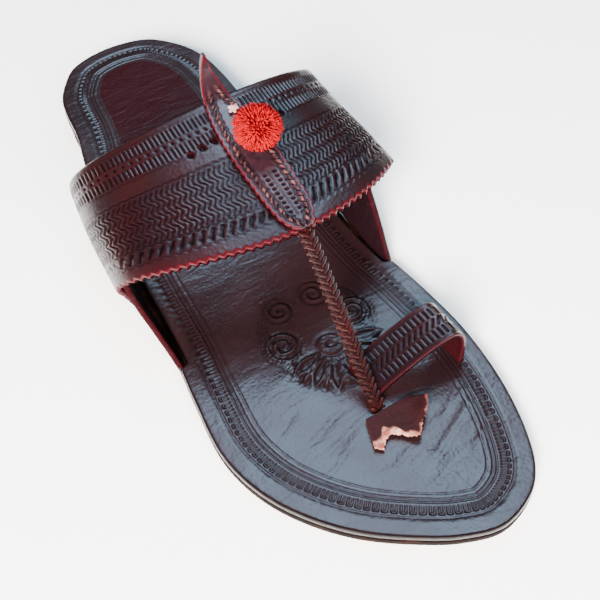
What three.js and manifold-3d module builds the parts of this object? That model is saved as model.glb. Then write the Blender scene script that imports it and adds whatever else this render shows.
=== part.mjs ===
// A hand-made leather toe-loop sandal of the Kolhapuri kind: the right shoe, empty, standing on its sole.
// Millimetres, +Z up. The toe points along -Y, the heel along +Y, and +X is the inner, big-toe side.
// Pieces: outsole, heel, insole, two side ears, the upper (instep band, braided thong and toe loop in one),
// the leaf sewn over the band, its pompom and lace knot, and the cut leather tab at the toe post.
import * as THREE from "three";
import { mergeVertices } from "three/addons/utils/BufferGeometryUtils.js";
import Module from "manifold-3d";

const wasm = await Module();
wasm.setup();

// Clearance between neighbouring pieces
const GAP = 0.3;

// Sole
const SOLE_LENGTH = 272;
const BALL_WIDTH = 94.3;
const OUTSOLE_WALL = 2.9;
const INSOLE_WALL = 2.6;
const HEEL_HEIGHT = 7.8;
const HEEL_LENGTH = 90;
const HEEL_INSET = 0.8;
const HEEL_GROOVE = 0.6;
const HEEL_LIFTS = 3;
const HEEL_BREAST_HOLLOW = 5;
const WAIST_LENGTH = 74;
const TOE_SPRING = 2.6;
const TOE_SPRING_LENGTH = 36;
const OUTLINE_STEPS = 104;

// Instep band
const BAND_WALL = 2.2;
const BAND_FOOT_HEIGHT = 2.6;
const BAND_REAR_TOP = 60;
const BAND_FRONT_TOP = 45;
const BAND_REAR_FOOT_Y = 62;
const BAND_REAR_TOP_Y = 24;
const BAND_FRONT_FOOT_Y = 2;
const BAND_FRONT_TOP_Y = -33;
const BAND_RIDGE_X = -1.6;
const BAND_OUTER_SWEEP = 2.1;
const BAND_INNER_SWEEP = 2.1;
const BAND_ROWS = 8;
const TOOTH_PITCH = 4;
const TOOTH_DEPTH = 1.1;
const PUNCH_RADIUS = 1.1;
const PUNCH_PITCH = 4.6;
const PUNCH_COUNT = 3;
const PUNCH_Y = 10;

// Side ears
const EAR_WALL = 2;
const EAR_CLEARANCE = 0.45;
const EAR_HEIGHT = 26;
const EAR_FRONT_Y = -30;
const EAR_FRONT_SLOPE = 0.62;
const EAR_REAR_MARGIN = 3;

// Leaf
const LEAF_WALL = 1.8;
const LEAF_WIDTH = 15;
const LEAF_FRONT_Y = -33.5;
const LEAF_BEND_Y = 19;
const LEAF_CURL_RADIUS = 12.5;
const LEAF_CURL_TURN = THREE.MathUtils.degToRad(93);
const SCALLOP_PITCH = 3.4;
const SCALLOP_DEPTH = 0.55;

// Braided thong
const THONG_WIDTH = 5.6;
const THONG_THICKNESS = 3.6;
const BRAID_PITCH = 5.4;
const BRAID_RELIEF = 0.5;
const THONG_HOLE_X = -6.6;
const THONG_HOLE_Y = -80.5;
const THONG_SIDES = 14;
const THONG_STEP = 0.95;

// Toe loop
const LOOP_WALL = 1.8;
const LOOP_WIDTH = 15.5;
const LOOP_INNER_FOOT_X = -4.8;
const LOOP_SPAN = 31.8;
const LOOP_HEIGHT = 15.5;
const LOOP_SWEEP = 3;
const LOOP_MIDDLE_Y = -70.6;

// Toe tab
const TAB_WIDTH = 24;
const TAB_LENGTH = 14;
const TAB_WALL = 1.6;
const TAB_CURL = 4.2;
const TAB_MIDDLE_X = -4.6;

// Pompom and knot
const POMPOM_DIAMETER = 17;
const POMPOM_SQUASH = 0.84;
const POMPOM_X = 2.6;
const POMPOM_Y = 1;
const POMPOM_LOCKS = 7;
const LOCK_DEPTH = 0.13;
const KNOT_WIDTH = 4.6;
const KNOT_THICKNESS = 2.6;
const KNOT_X = 2.2;
const KNOT_Y = 15;

// Sole outline: place along the sole from the heel, and the reach to the outer and inner side from the
// long axis. Along is a share of the length, the reaches are shares of the ball width.
const OUTLINE = [
  { along: 0.015, outer: 0.184, inner: 0.187 },
  { along: 0.048, outer: 0.274, inner: 0.275 },
  { along: 0.081, outer: 0.327, inner: 0.325 },
  { along: 0.114, outer: 0.350, inner: 0.349 },
  { along: 0.169, outer: 0.371, inner: 0.356 },
  { along: 0.243, outer: 0.424, inner: 0.344 },
  { along: 0.324, outer: 0.477, inner: 0.329 },
  { along: 0.412, outer: 0.513, inner: 0.331 },
  { along: 0.5, outer: 0.531, inner: 0.348 },
  { along: 0.588, outer: 0.545, inner: 0.361 },
  { along: 0.665, outer: 0.579, inner: 0.382 },
  { along: 0.743, outer: 0.606, inner: 0.391 },
  { along: 0.787, outer: 0.594, inner: 0.383 },
  { along: 0.831, outer: 0.555, inner: 0.365 },
  { along: 0.875, outer: 0.484, inner: 0.335 },
  { along: 0.919, outer: 0.381, inner: 0.290 },
  { along: 0.96, outer: 0.241, inner: 0.225 },
  { along: 0.985, outer: 0.131, inner: 0.146 },
];

// Arch of the instep band over the last, from the outer foot over the ridge to the inner foot.
// Across is a share of the half span on that side, up a share of the height.
const ARCH = [
  { across: -1, up: 0 },
  { across: -1.07, up: 0.2 },
  { across: -1.13, up: 0.42 },
  { across: -1.09, up: 0.6 },
  { across: -0.93, up: 0.755 },
  { across: -0.66, up: 0.87 },
  { across: -0.33, up: 0.955 },
  { across: 0, up: 1 },
  { across: 0.36, up: 0.985 },
  { across: 0.76, up: 0.925 },
  { across: 1.1, up: 0.82 },
  { across: 1.3, up: 0.7 },
  { across: 1.31, up: 0.52 },
  { across: 1.18, up: 0.25 },
  { across: 1, up: 0 },
];

// Half width of the leaf from its pointed tip to its front end. Along is a share of its length.
const LEAF = [
  { along: 0, width: 0.06 },
  { along: 0.05, width: 0.17 },
  { along: 0.12, width: 0.34 },
  { along: 0.2, width: 0.56 },
  { along: 0.27, width: 0.72 },
  { along: 0.36, width: 0.88 },
  { along: 0.48, width: 0.98 },
  { along: 0.64, width: 1 },
  { along: 0.82, width: 0.94 },
  { along: 0.92, width: 0.82 },
  { along: 0.98, width: 0.55 },
  { along: 1, width: 0.3 },
];

// Toe loop: across is a share of its span, up a share of its height over the insole,
// and forward a share of its sweep towards the toe.
const LOOP = [
  { across: 0, up: -0.15, forward: 0 },
  { across: 0.01, up: 0.02, forward: 0 },
  { across: 0.06, up: 0.16, forward: 0 },
  { across: 0.18, up: 0.34, forward: 0.1 },
  { across: 0.4, up: 0.6, forward: 0.3 },
  { across: 0.62, up: 0.83, forward: 0.5 },
  { across: 0.78, up: 0.96, forward: 0.7 },
  { across: 0.89, up: 1, forward: 0.8 },
  { across: 0.98, up: 0.86, forward: 0.9 },
  { across: 1.01, up: 0.55, forward: 1 },
  { across: 1, up: 0.2, forward: 1 },
  { across: 0.99, up: -0.15, forward: 1 },
];

// Ragged cut of the toe tab's front edge: across is a share of its width, cut a share of its length,
// and lift a share of its curl.
const TAB = [
  { across: -0.5, cut: 0.72, lift: 0.02 },
  { across: -0.42, cut: 0.84, lift: 0.03 },
  { across: -0.27, cut: 0.66, lift: 0.1 },
  { across: -0.12, cut: 0.74, lift: 0.16 },
  { across: 0, cut: 0.96, lift: 0.22 },
  { across: 0.12, cut: 1, lift: 0.3 },
  { across: 0.24, cut: 0.78, lift: 0.5 },
  { across: 0.38, cut: 0.62, lift: 0.85 },
  { across: 0.5, cut: 0.36, lift: 1 },
];

const HALF_LENGTH = SOLE_LENGTH / 2;
const HEEL_BREAST_Y = HALF_LENGTH - HEEL_LENGTH;
const BALL_REAR_Y = HEEL_BREAST_Y - WAIST_LENGTH;
const SOLE_WALL = OUTSOLE_WALL + GAP + INSOLE_WALL;
const SMALL = 0.02;

const clamp01 = (value) => THREE.MathUtils.clamp(value, 0, 1);
const mix = THREE.MathUtils.lerp;
const smooth = (share) => THREE.MathUtils.smoothstep(share, 0, 1);

// A closed geometry as a solid for joining and cutting.
function solidOf(geometry) {
  const bare = geometry.clone();
  bare.deleteAttribute("normal");
  bare.deleteAttribute("uv");
  const merged = mergeVertices(bare, 1e-4);
  return new wasm.Manifold(
    new wasm.Mesh({
      numProp: 3,
      vertProperties: new Float32Array(merged.attributes.position.array),
      triVerts: new Uint32Array(merged.index.array),
    }),
  );
}

// A solid back as a geometry.
function geometryOf(solid) {
  const mesh = solid.getMesh();
  const corners = new Float32Array(mesh.numVert * 3);
  for (let i = 0; i < mesh.numVert; i += 1) {
    corners.set(mesh.vertProperties.subarray(i * mesh.numProp, i * mesh.numProp + 3), i * 3);
  }
  const geometry = new THREE.BufferGeometry()
    .setAttribute("position", new THREE.BufferAttribute(corners, 3))
    .setIndex(new THREE.BufferAttribute(mesh.triVerts, 1));
  geometry.computeVertexNormals();
  return geometry;
}

// A smooth value from a table: the column at a place of the key column.
function lookUp(table, key, column, place) {
  const last = table.length - 1;
  let i = 0;
  while (i < last - 1 && place > table[i + 1][key]) i += 1;
  const share = clamp01((place - table[i][key]) / (table[i + 1][key] - table[i][key]));
  const before = table[Math.max(i - 1, 0)][column];
  const after = table[Math.min(i + 2, last)][column];
  const from = table[i][column];
  const to = table[i + 1][column];
  return (
    from +
    0.5 *
      share *
      (to -
        before +
        share * (2 * before - 5 * from + 4 * to - after + share * (3 * (from - to) + after - before)))
  );
}

// Finds where a rising function passes a target, between two limits.
function solve(low, high, target, value) {
  let from = low;
  let to = high;
  for (let i = 0; i < 30; i += 1) {
    const middle = (from + to) / 2;
    if (value(middle) < target) from = middle;
    else to = middle;
  }
  return (from + to) / 2;
}

// A closed wall between two grids of points: face(i, j) on the outside and back(i, j) on the inside.
function sheetGeometry(columns, rows, face, back) {
  const points = [];
  for (const side of [face, back]) {
    for (let i = 0; i <= columns; i += 1) {
      for (let j = 0; j <= rows; j += 1) points.push(...side(i, j).toArray());
    }
  }
  const at = (side, i, j) => side * (columns + 1) * (rows + 1) + i * (rows + 1) + j;
  const faces = [];
  const quad = (a, b, c, d) => faces.push(a, b, c, a, c, d);
  for (let i = 0; i < columns; i += 1) {
    for (let j = 0; j < rows; j += 1) {
      quad(at(0, i, j), at(0, i, j + 1), at(0, i + 1, j + 1), at(0, i + 1, j));
      quad(at(1, i, j), at(1, i + 1, j), at(1, i + 1, j + 1), at(1, i, j + 1));
    }
    quad(at(0, i, 0), at(0, i + 1, 0), at(1, i + 1, 0), at(1, i, 0));
    quad(at(0, i, rows), at(1, i, rows), at(1, i + 1, rows), at(0, i + 1, rows));
  }
  for (let j = 0; j < rows; j += 1) {
    quad(at(0, 0, j), at(1, 0, j), at(1, 0, j + 1), at(0, 0, j + 1));
    quad(at(0, columns, j), at(0, columns, j + 1), at(1, columns, j + 1), at(1, columns, j));
  }
  const geometry = new THREE.BufferGeometry();
  geometry.setAttribute("position", new THREE.Float32BufferAttribute(points, 3));
  geometry.setIndex(faces);
  geometry.computeVertexNormals();
  return geometry;
}

// A sheet that may come out inside out is turned round, so that its volume is positive.
function sheetSolid(columns, rows, face, back) {
  const made = solidOf(sheetGeometry(columns, rows, face, back));
  if (made.volume() > 0) return made;
  return solidOf(sheetGeometry(columns, rows, back, face));
}

// The sole's outline as a smooth closed curve.
const outlineCurve = new THREE.CatmullRomCurve3(
  [
    new THREE.Vector3(0, HALF_LENGTH, 0),
    ...OUTLINE.map((row) => new THREE.Vector3(row.inner * BALL_WIDTH, HALF_LENGTH - row.along * SOLE_LENGTH, 0)),
    new THREE.Vector3(0, -HALF_LENGTH, 0),
    ...OUTLINE.toReversed().map(
      (row) => new THREE.Vector3(-row.outer * BALL_WIDTH, HALF_LENGTH - row.along * SOLE_LENGTH, 0),
    ),
  ],
  true,
  "centripetal",
);
const outlinePoints = outlineCurve.getSpacedPoints(OUTLINE_STEPS).slice(0, OUTLINE_STEPS);

// The outline moved inwards, as plan points.
function insetOutline(inset) {
  return outlinePoints.map((point, i) => {
    const before = outlinePoints[(i + OUTLINE_STEPS - 1) % OUTLINE_STEPS];
    const after = outlinePoints[(i + 1) % OUTLINE_STEPS];
    const along = new THREE.Vector2(after.x - before.x, after.y - before.y).normalize();
    return new THREE.Vector2(point.x + along.y * inset, point.y - along.x * inset);
  });
}

// Reach of the sole's edge from the long axis at a place along it, on the outer (-1) or inner (1) side.
function edgeReach(y, side) {
  const along = (HALF_LENGTH - y) / SOLE_LENGTH;
  return lookUp(OUTLINE, "along", side < 0 ? "outer" : "inner", along) * BALL_WIDTH;
}

// Height of the outsole's underside: flat forefoot, rising waist, level heel seat and toe spring.
function soleLift(y) {
  const seat = HEEL_HEIGHT + GAP;
  const waist = smooth((y - BALL_REAR_Y) / WAIST_LENGTH);
  const toe = clamp01((-HALF_LENGTH + TOE_SPRING_LENGTH - y) / TOE_SPRING_LENGTH);
  return seat * waist + TOE_SPRING * toe * toe;
}

const insoleTop = (y) => soleLift(y) + SOLE_WALL;

// A vertical block with a plan outline.
function planBlock(points, low, high) {
  const geometry = new THREE.ExtrudeGeometry(new THREE.Shape(points), {
    depth: high - low,
    bevelEnabled: false,
  });
  geometry.translate(0, 0, low);
  return solidOf(geometry);
}

// A layer of the sole, between two heights over the outsole's underside.
function soleLayer(from, to) {
  const places = [];
  const flatStep = 12;
  for (let i = 0; i <= flatStep; i += 1) {
    places.push(HALF_LENGTH + 2 - ((HEEL_LENGTH + 2) * i) / flatStep);
  }
  const waistStep = 14;
  for (let i = 1; i <= waistStep; i += 1) places.push(HEEL_BREAST_Y - (WAIST_LENGTH * i) / waistStep);
  const toeBreak = -HALF_LENGTH + TOE_SPRING_LENGTH;
  places.push(toeBreak);
  const toeStep = 8;
  for (let i = 1; i <= toeStep; i += 1) {
    places.push(toeBreak - ((TOE_SPRING_LENGTH + 2) * i) / toeStep);
  }
  const upperLine = places.map((y) => new THREE.Vector2(y, soleLift(y) + to));
  const lowerLine = places.toReversed().map((y) => new THREE.Vector2(y, soleLift(y) + from));
  const span = 2 * BALL_WIDTH;
  const side = new THREE.ExtrudeGeometry(new THREE.Shape([...upperLine, ...lowerLine]), {
    depth: span,
    bevelEnabled: false,
  });
  // The profile is drawn as (Y, Z) and pushed out along X.
  side.applyMatrix4(new THREE.Matrix4().set(0, 0, 1, -span / 2, 1, 0, 0, 0, 0, 1, 0, 0, 0, 0, 0, 1));
  return solidOf(side).intersect(planBlock(insetOutline(0), -10, HEEL_HEIGHT + 4 * SOLE_WALL));
}

// The half span of the band's arch from its ridge to the sole's edge, at the middle of its wall.
function archReach(y, side) {
  return edgeReach(y, side) + GAP + BAND_WALL / 2 - side * BAND_RIDGE_X;
}

// Height of the middle of the band's wall at the ridge.
function ridgeHeight(y) {
  const share = (y - BAND_FRONT_TOP_Y) / (BAND_REAR_TOP_Y - BAND_FRONT_TOP_Y);
  return mix(BAND_FRONT_TOP, BAND_REAR_TOP, share) - BAND_WALL / 2;
}

const archCurve = new THREE.CatmullRomCurve3(
  ARCH.map((row) => new THREE.Vector3(row.across, row.up, 0)),
  false,
  "centripetal",
);
archCurve.arcLengthDivisions = 400;

// A point of the upper's surface: y along the last, around from the outer foot (0) to the inner foot (1),
// and the distance outwards from the middle of the band's wall.
function upperPoint(y, around, out = 0) {
  const place = (share) => {
    const { x: across, y: up } = archCurve.getPointAt(clamp01(share));
    const reach = archReach(y, across < 0 ? -1 : 1);
    return new THREE.Vector2(
      BAND_RIDGE_X + across * reach,
      BAND_FOOT_HEIGHT + up * (ridgeHeight(y) - BAND_FOOT_HEIGHT),
    );
  };
  const here = place(around);
  const along = place(around + SMALL).sub(place(around - SMALL)).normalize();
  return new THREE.Vector3(here.x - along.y * out, y, here.y + along.x * out);
}

const RIDGE_AROUND = solve(0, 1, 0, (share) => archCurve.getPointAt(share).x);

const archUp = (around) => archCurve.getPointAt(clamp01(around)).y;
const bandRearY = (around) => mix(BAND_REAR_FOOT_Y, BAND_REAR_TOP_Y, archUp(around));
const bandFrontY = (around) => {
  const sweep = around < RIDGE_AROUND ? BAND_OUTER_SWEEP : BAND_INNER_SWEEP;
  return mix(BAND_FRONT_FOOT_Y, BAND_FRONT_TOP_Y, archUp(around) ** sweep);
};

// Where around the arch a point lies at a distance from the ridge, at a place along the last.
const aroundAt = (y, offset) => solve(0.2, 0.8, BAND_RIDGE_X + offset, (share) => upperPoint(y, share).x);

// The instep band: one wall with a pinked front edge and punched holes beside the leaf.
function bandSolid() {
  const span = upperPoint(bandFrontY(0), 0).distanceTo(upperPoint(bandFrontY(0), 1));
  const edgeLength = span + BAND_REAR_TOP + BAND_FRONT_TOP - 2 * BAND_FOOT_HEIGHT;
  const teeth = Math.round(edgeLength / TOOTH_PITCH);
  const columns = 2 * teeth;
  const place = (i, j, out) => {
    const around = i / columns;
    const front = bandFrontY(around) + (i % 2) * TOOTH_DEPTH;
    return upperPoint(mix(bandRearY(around), front, j / BAND_ROWS), around, out);
  };
  let band = sheetSolid(
    columns,
    BAND_ROWS,
    (i, j) => place(i, j, BAND_WALL / 2),
    (i, j) => place(i, j, -BAND_WALL / 2),
  );
  for (const side of [-1, 1]) {
    for (let k = 0; k < PUNCH_COUNT; k += 1) {
      const offset = side * (LEAF_WIDTH / 2 + (k + 0.2) * PUNCH_PITCH);
      band = band.subtract(punch(PUNCH_Y, aroundAt(PUNCH_Y, offset), PUNCH_RADIUS, BAND_WALL));
    }
  }
  return band;
}

// A round cutter square to the band's wall.
function punch(y, around, radius, wall) {
  const inside = upperPoint(y, around, -wall);
  const outside = upperPoint(y, around, wall);
  const cutter = new THREE.CylinderGeometry(radius, radius, 2 * inside.distanceTo(outside), 10);
  const turn = new THREE.Quaternion().setFromUnitVectors(
    new THREE.Vector3(0, 1, 0),
    outside.clone().sub(inside).normalize(),
  );
  cutter.applyQuaternion(turn);
  const middle = inside.add(outside).multiplyScalar(0.5);
  cutter.translate(middle.x, middle.y, middle.z);
  return solidOf(cutter);
}

// The thong's line, from under the band's front edge down to its hole in the insole.
function thongCurve() {
  const under = BAND_WALL / 2 + THONG_THICKNESS * 0.3;
  const start = upperPoint(BAND_FRONT_TOP_Y + 4.5, RIDGE_AROUND, -under);
  const leave = upperPoint(BAND_FRONT_TOP_Y - 1, RIDGE_AROUND, -under);
  const foot = new THREE.Vector3(THONG_HOLE_X, THONG_HOLE_Y, insoleTop(THONG_HOLE_Y));
  const run = (share, drop) => leave.clone().lerp(foot, share).add(new THREE.Vector3(0, 0, drop));
  return new THREE.CatmullRomCurve3(
    [
      start,
      leave,
      run(0.3, 0.5),
      run(0.6, 0.5),
      run(0.88, 0.6),
      foot.clone().add(new THREE.Vector3(0, 0, 0.8)),
      foot.clone().add(new THREE.Vector3(0, -0.4, GAP - INSOLE_WALL)),
    ],
    false,
    "centripetal",
  );
}

// The braided thong: a flat cord whose crossing strips stand up as a chevron on both faces.
// The grow distance widens it, for the hole that it goes through.
function thongSolid(grow = 0) {
  const curve = thongCurve();
  const length = curve.getLength();
  const steps = Math.round(length / THONG_STEP);
  const rings = [];
  const wide = new THREE.Vector3(1, 0, 0);
  for (let i = 0; i <= steps; i += 1) {
    const centre = curve.getPointAt(i / steps);
    const along = curve.getTangentAt(i / steps);
    const thick = new THREE.Vector3().crossVectors(along, wide).normalize();
    const ring = [];
    for (let k = 0; k < THONG_SIDES; k += 1) {
      const angle = (2 * Math.PI * k) / THONG_SIDES;
      const across = Math.cos(angle);
      const lane = (i / steps) * (length / BRAID_PITCH) + 0.55 * Math.abs(across) + (across < 0 ? 0.5 : 0);
      const relief = grow > 0 ? 0 : BRAID_RELIEF * (Math.abs(Math.sin(Math.PI * lane)) - 1);
      const halfWide = THONG_WIDTH / 2 + relief + grow;
      const halfThick = THONG_THICKNESS / 2 + relief + grow;
      ring.push(
        centre
          .clone()
          .addScaledVector(wide, halfWide * across)
          .addScaledVector(thick, halfThick * Math.sin(angle)),
      );
    }
    rings.push({ centre, ring });
  }
  const points = rings.flatMap(({ ring }) => ring.flatMap((point) => point.toArray()));
  points.push(...rings[0].centre.toArray(), ...rings[steps].centre.toArray());
  const at = (i, k) => i * THONG_SIDES + (k % THONG_SIDES);
  const firstCap = rings.length * THONG_SIDES;
  const faces = [];
  for (let k = 0; k < THONG_SIDES; k += 1) {
    for (let i = 0; i < steps; i += 1) {
      faces.push(at(i, k), at(i + 1, k), at(i + 1, k + 1), at(i, k), at(i + 1, k + 1), at(i, k + 1));
    }
    faces.push(firstCap, at(0, k), at(0, k + 1));
    faces.push(firstCap + 1, at(steps, k + 1), at(steps, k));
  }
  const build = (order) => {
    const geometry = new THREE.BufferGeometry();
    geometry.setAttribute("position", new THREE.Float32BufferAttribute(points, 3));
    geometry.setIndex(order);
    return solidOf(geometry);
  };
  const made = build(faces);
  return made.volume() > 0 ? made : build(faces.toReversed());
}

// The big-toe loop: one bent strap, its two feet down in slits of the insole.
function loopSolid(grow = 0) {
  const columns = 26;
  const rows = 3;
  const curve = new THREE.CatmullRomCurve3(
    LOOP.map((row) => new THREE.Vector3(row.across, row.up, row.forward)),
    false,
    "centripetal",
  );
  const place = (share) => {
    const { x: across, y: up, z: forward } = curve.getPointAt(clamp01(share));
    const y = LOOP_MIDDLE_Y - forward * LOOP_SWEEP;
    return new THREE.Vector3(LOOP_INNER_FOOT_X + across * LOOP_SPAN, y, insoleTop(y) + up * LOOP_HEIGHT);
  };
  const point = (i, j, out) => {
    const here = place(i / columns);
    const along = place(i / columns + SMALL).sub(place(i / columns - SMALL));
    const square = new THREE.Vector3(-along.z, 0, along.x).normalize();
    const width = LOOP_WIDTH + 2 * grow;
    return here.addScaledVector(square, out).add(new THREE.Vector3(0, width * (0.5 - j / rows), 0));
  };
  return sheetSolid(
    columns,
    rows,
    (i, j) => point(i, j, LOOP_WALL / 2 + grow),
    (i, j) => point(i, j, -LOOP_WALL / 2 - grow),
  );
}

// The upper: the band, the thong and the loop joined where they meet.
function upperSolid() {
  return bandSolid().add(thongSolid()).add(loopSolid());
}

// A side ear: the flap that stands on the outsole's rim inside the band, tapering out in front of it.
function earSolid(side) {
  const columns = 20;
  const rows = 4;
  const inside = BAND_WALL / 2 + EAR_CLEARANCE;
  const low = (y) => soleLift(y) + OUTSOLE_WALL + GAP;
  const rearFoot = BAND_REAR_FOOT_Y - EAR_REAR_MARGIN;
  const rise = (BAND_REAR_TOP - BAND_FOOT_HEIGHT) / (BAND_REAR_FOOT_Y - BAND_REAR_TOP_Y);
  const high = (y) =>
    Math.min(
      low(y) + 0.6 + (y - EAR_FRONT_Y) * EAR_FRONT_SLOPE,
      EAR_HEIGHT,
      BAND_FOOT_HEIGHT + (rearFoot - y) * rise,
    );
  const lastY = solve(0, rearFoot, 0, (y) => low(y) + 1 - high(y));
  const heightAt = (y, around) => upperPoint(y, around).z;
  const aroundHeight = (y, z) =>
    side < 0
      ? solve(0, 0.3, z, (share) => heightAt(y, share))
      : 1 - solve(0, 0.3, z, (share) => heightAt(y, 1 - share));
  const point = (i, j, out) => {
    const y = mix(EAR_FRONT_Y, lastY, i / columns);
    const z = mix(low(y), high(y), j / rows);
    return upperPoint(y, aroundHeight(y, z), out).setZ(z);
  };
  return sheetSolid(
    columns,
    rows,
    (i, j) => point(i, j, -inside),
    (i, j) => point(i, j, -inside - EAR_WALL),
  );
}

// The strip of the insole's edge that gives way to an ear.
function earNotch(side) {
  const steps = 24;
  const depth = EAR_WALL + EAR_CLEARANCE + GAP;
  const near = EAR_FRONT_Y - 1;
  const far = BAND_REAR_FOOT_Y - EAR_REAR_MARGIN + 1;
  const places = Array.from({ length: steps + 1 }, (_, i) => mix(near, far, i / steps));
  const inner = places.map((y) => new THREE.Vector2(side * (edgeReach(y, side) - depth), y));
  const outer = places.toReversed().map((y) => new THREE.Vector2(side * (edgeReach(y, side) + depth), y));
  return planBlock([...inner, ...outer], -1, HEEL_HEIGHT + 2 * SOLE_WALL);
}

// The insole: the top layer, with room for the ears, the thong and the feet of the loop.
function insoleSolid() {
  return soleLayer(OUTSOLE_WALL + GAP, SOLE_WALL)
    .subtract(earNotch(-1))
    .subtract(earNotch(1))
    .subtract(thongSolid(GAP))
    .subtract(loopSolid(GAP));
}

// The heel: stacked lifts under the seat with a hollowed breast, each lift parted by a groove.
function heelSolid() {
  const liftHeight = HEEL_HEIGHT / HEEL_LIFTS;
  const stack = (inset, low, high) => {
    const points = insetOutline(inset);
    return planBlock(points, low, high);
  };
  let heel = stack(HEEL_INSET + HEEL_GROOVE, 0, HEEL_HEIGHT);
  for (let i = 0; i < HEEL_LIFTS; i += 1) {
    const low = i * liftHeight + (i > 0 ? HEEL_GROOVE / 2 : 0);
    const high = (i + 1) * liftHeight - (i < HEEL_LIFTS - 1 ? HEEL_GROOVE / 2 : 0);
    heel = heel.add(stack(HEEL_INSET, low, high));
  }
  const breast = [];
  const breastSteps = 10;
  for (let i = 0; i <= breastSteps; i += 1) {
    const across = mix(-1, 1, i / breastSteps);
    breast.push(
      new THREE.Vector2(across * BALL_WIDTH, HEEL_BREAST_Y + HEEL_BREAST_HOLLOW * (1 - 4 * across * across)),
    );
  }
  const front = [
    new THREE.Vector2(BALL_WIDTH, -SOLE_LENGTH),
    new THREE.Vector2(-BALL_WIDTH, -SOLE_LENGTH),
  ];
  return heel.subtract(planBlock([...front, ...breast], -1, HEEL_HEIGHT + 1));
}

// The leaf's surface: along from its curled tip (0) to its front end (1), across from -1 to 1, and out
// from the middle of its wall.
const LEAF_OUT = BAND_WALL / 2 + GAP + LEAF_WALL / 2;
const LEAF_CURL_LENGTH = LEAF_CURL_RADIUS * LEAF_CURL_TURN;
const LEAF_FLAT_LENGTH = Math.hypot(
  LEAF_BEND_Y - LEAF_FRONT_Y,
  ridgeHeight(LEAF_BEND_Y) - ridgeHeight(LEAF_FRONT_Y),
);
const LEAF_LENGTH = LEAF_CURL_LENGTH + LEAF_FLAT_LENGTH;

function leafPoint(along, offset, out) {
  const travel = along * LEAF_LENGTH;
  const ridge = (y, level) => upperPoint(y, RIDGE_AROUND, level);
  if (travel >= LEAF_CURL_LENGTH) {
    const y = mix(LEAF_BEND_Y, LEAF_FRONT_Y, (travel - LEAF_CURL_LENGTH) / LEAF_FLAT_LENGTH);
    return upperPoint(y, aroundAt(y, offset), LEAF_OUT + out);
  }
  const start = ridge(LEAF_BEND_Y, LEAF_OUT);
  const back = ridge(LEAF_BEND_Y + 1, LEAF_OUT).sub(start).normalize();
  const up = new THREE.Vector3(0, -back.z, back.y);
  const turn = (LEAF_CURL_LENGTH - travel) / LEAF_CURL_RADIUS;
  const droop = upperPoint(LEAF_BEND_Y, aroundAt(LEAF_BEND_Y, offset), LEAF_OUT).z - start.z;
  const level = out + droop * (1 - turn / LEAF_CURL_TURN);
  return start
    .addScaledVector(back, LEAF_CURL_RADIUS * Math.sin(turn))
    .addScaledVector(up, LEAF_CURL_RADIUS * (1 - Math.cos(turn)))
    .addScaledVector(up, level * Math.cos(turn))
    .addScaledVector(back, -level * Math.sin(turn))
    .add(new THREE.Vector3(offset, 0, 0));
}

function leafSolid() {
  const columns = 2 * Math.round(LEAF_LENGTH / SCALLOP_PITCH);
  const rows = 6;
  const point = (i, j, out) => {
    const along = i / columns;
    const half = (LEAF_WIDTH / 2) * lookUp(LEAF, "along", "width", along);
    const scallop = along > 0.2 ? (i % 2) * SCALLOP_DEPTH : 0;
    return leafPoint(along, (half - scallop) * mix(-1, 1, j / rows), out);
  };
  return sheetSolid(
    columns,
    rows,
    (i, j) => point(i, j, LEAF_WALL / 2),
    (i, j) => point(i, j, -LEAF_WALL / 2),
  );
}

// Centre and lie of a piece that sits on the leaf, a height above its face.
function onLeaf(y, offset, height) {
  const flat = (LEAF_BEND_Y - y) / (LEAF_BEND_Y - LEAF_FRONT_Y);
  const along = (LEAF_CURL_LENGTH + flat * LEAF_FLAT_LENGTH) / LEAF_LENGTH;
  const seat = leafPoint(along, offset, LEAF_WALL / 2);
  const ahead = leafPoint(along + SMALL, offset, LEAF_WALL / 2);
  const run = ahead.clone().sub(seat).normalize();
  const up = new THREE.Vector3(0, run.z, -run.y);
  const tilt = new THREE.Quaternion().setFromUnitVectors(new THREE.Vector3(0, 0, 1), up);
  return { centre: seat.addScaledVector(up, height), tilt };
}

// The pompom: a squashed ball whose wool locks stand out of it.
function pompomSolid() {
  const radius = POMPOM_DIAMETER / 2;
  const ball = new THREE.IcosahedronGeometry(radius, POMPOM_LOCKS);
  ball.deleteAttribute("normal");
  ball.deleteAttribute("uv");
  const wool = mergeVertices(ball, 1e-3);
  const corners = wool.attributes.position;
  const corner = new THREE.Vector3();
  for (let i = 0; i < corners.count; i += 1) {
    corner.fromBufferAttribute(corners, i);
    // A fixed scatter decides which corners are lock tips and which lie between locks.
    const scatter = Math.sin(corner.x * 12.9 + corner.y * 78.2 + corner.z * 37.7) * 43758.5;
    const lock = scatter - Math.floor(scatter);
    corner.multiplyScalar(1 - LOCK_DEPTH * lock);
    corners.setXYZ(i, corner.x, corner.y, corner.z * POMPOM_SQUASH);
  }
  const { centre, tilt } = onLeaf(POMPOM_Y, POMPOM_X, radius * POMPOM_SQUASH + GAP);
  wool.applyQuaternion(tilt);
  wool.translate(centre.x, centre.y, centre.z);
  return solidOf(wool);
}

// The lace knot: a small turned-over lump of rawhide lace on the leaf behind the pompom.
function knotSolid() {
  const knot = new THREE.SphereGeometry(KNOT_WIDTH / 2, 12, 8);
  knot.scale(1, 0.72, KNOT_THICKNESS / KNOT_WIDTH);
  const { centre, tilt } = onLeaf(KNOT_Y, KNOT_X, KNOT_THICKNESS / 2 + GAP);
  knot.applyQuaternion(tilt);
  knot.translate(centre.x, centre.y, centre.z);
  return solidOf(knot);
}

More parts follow.
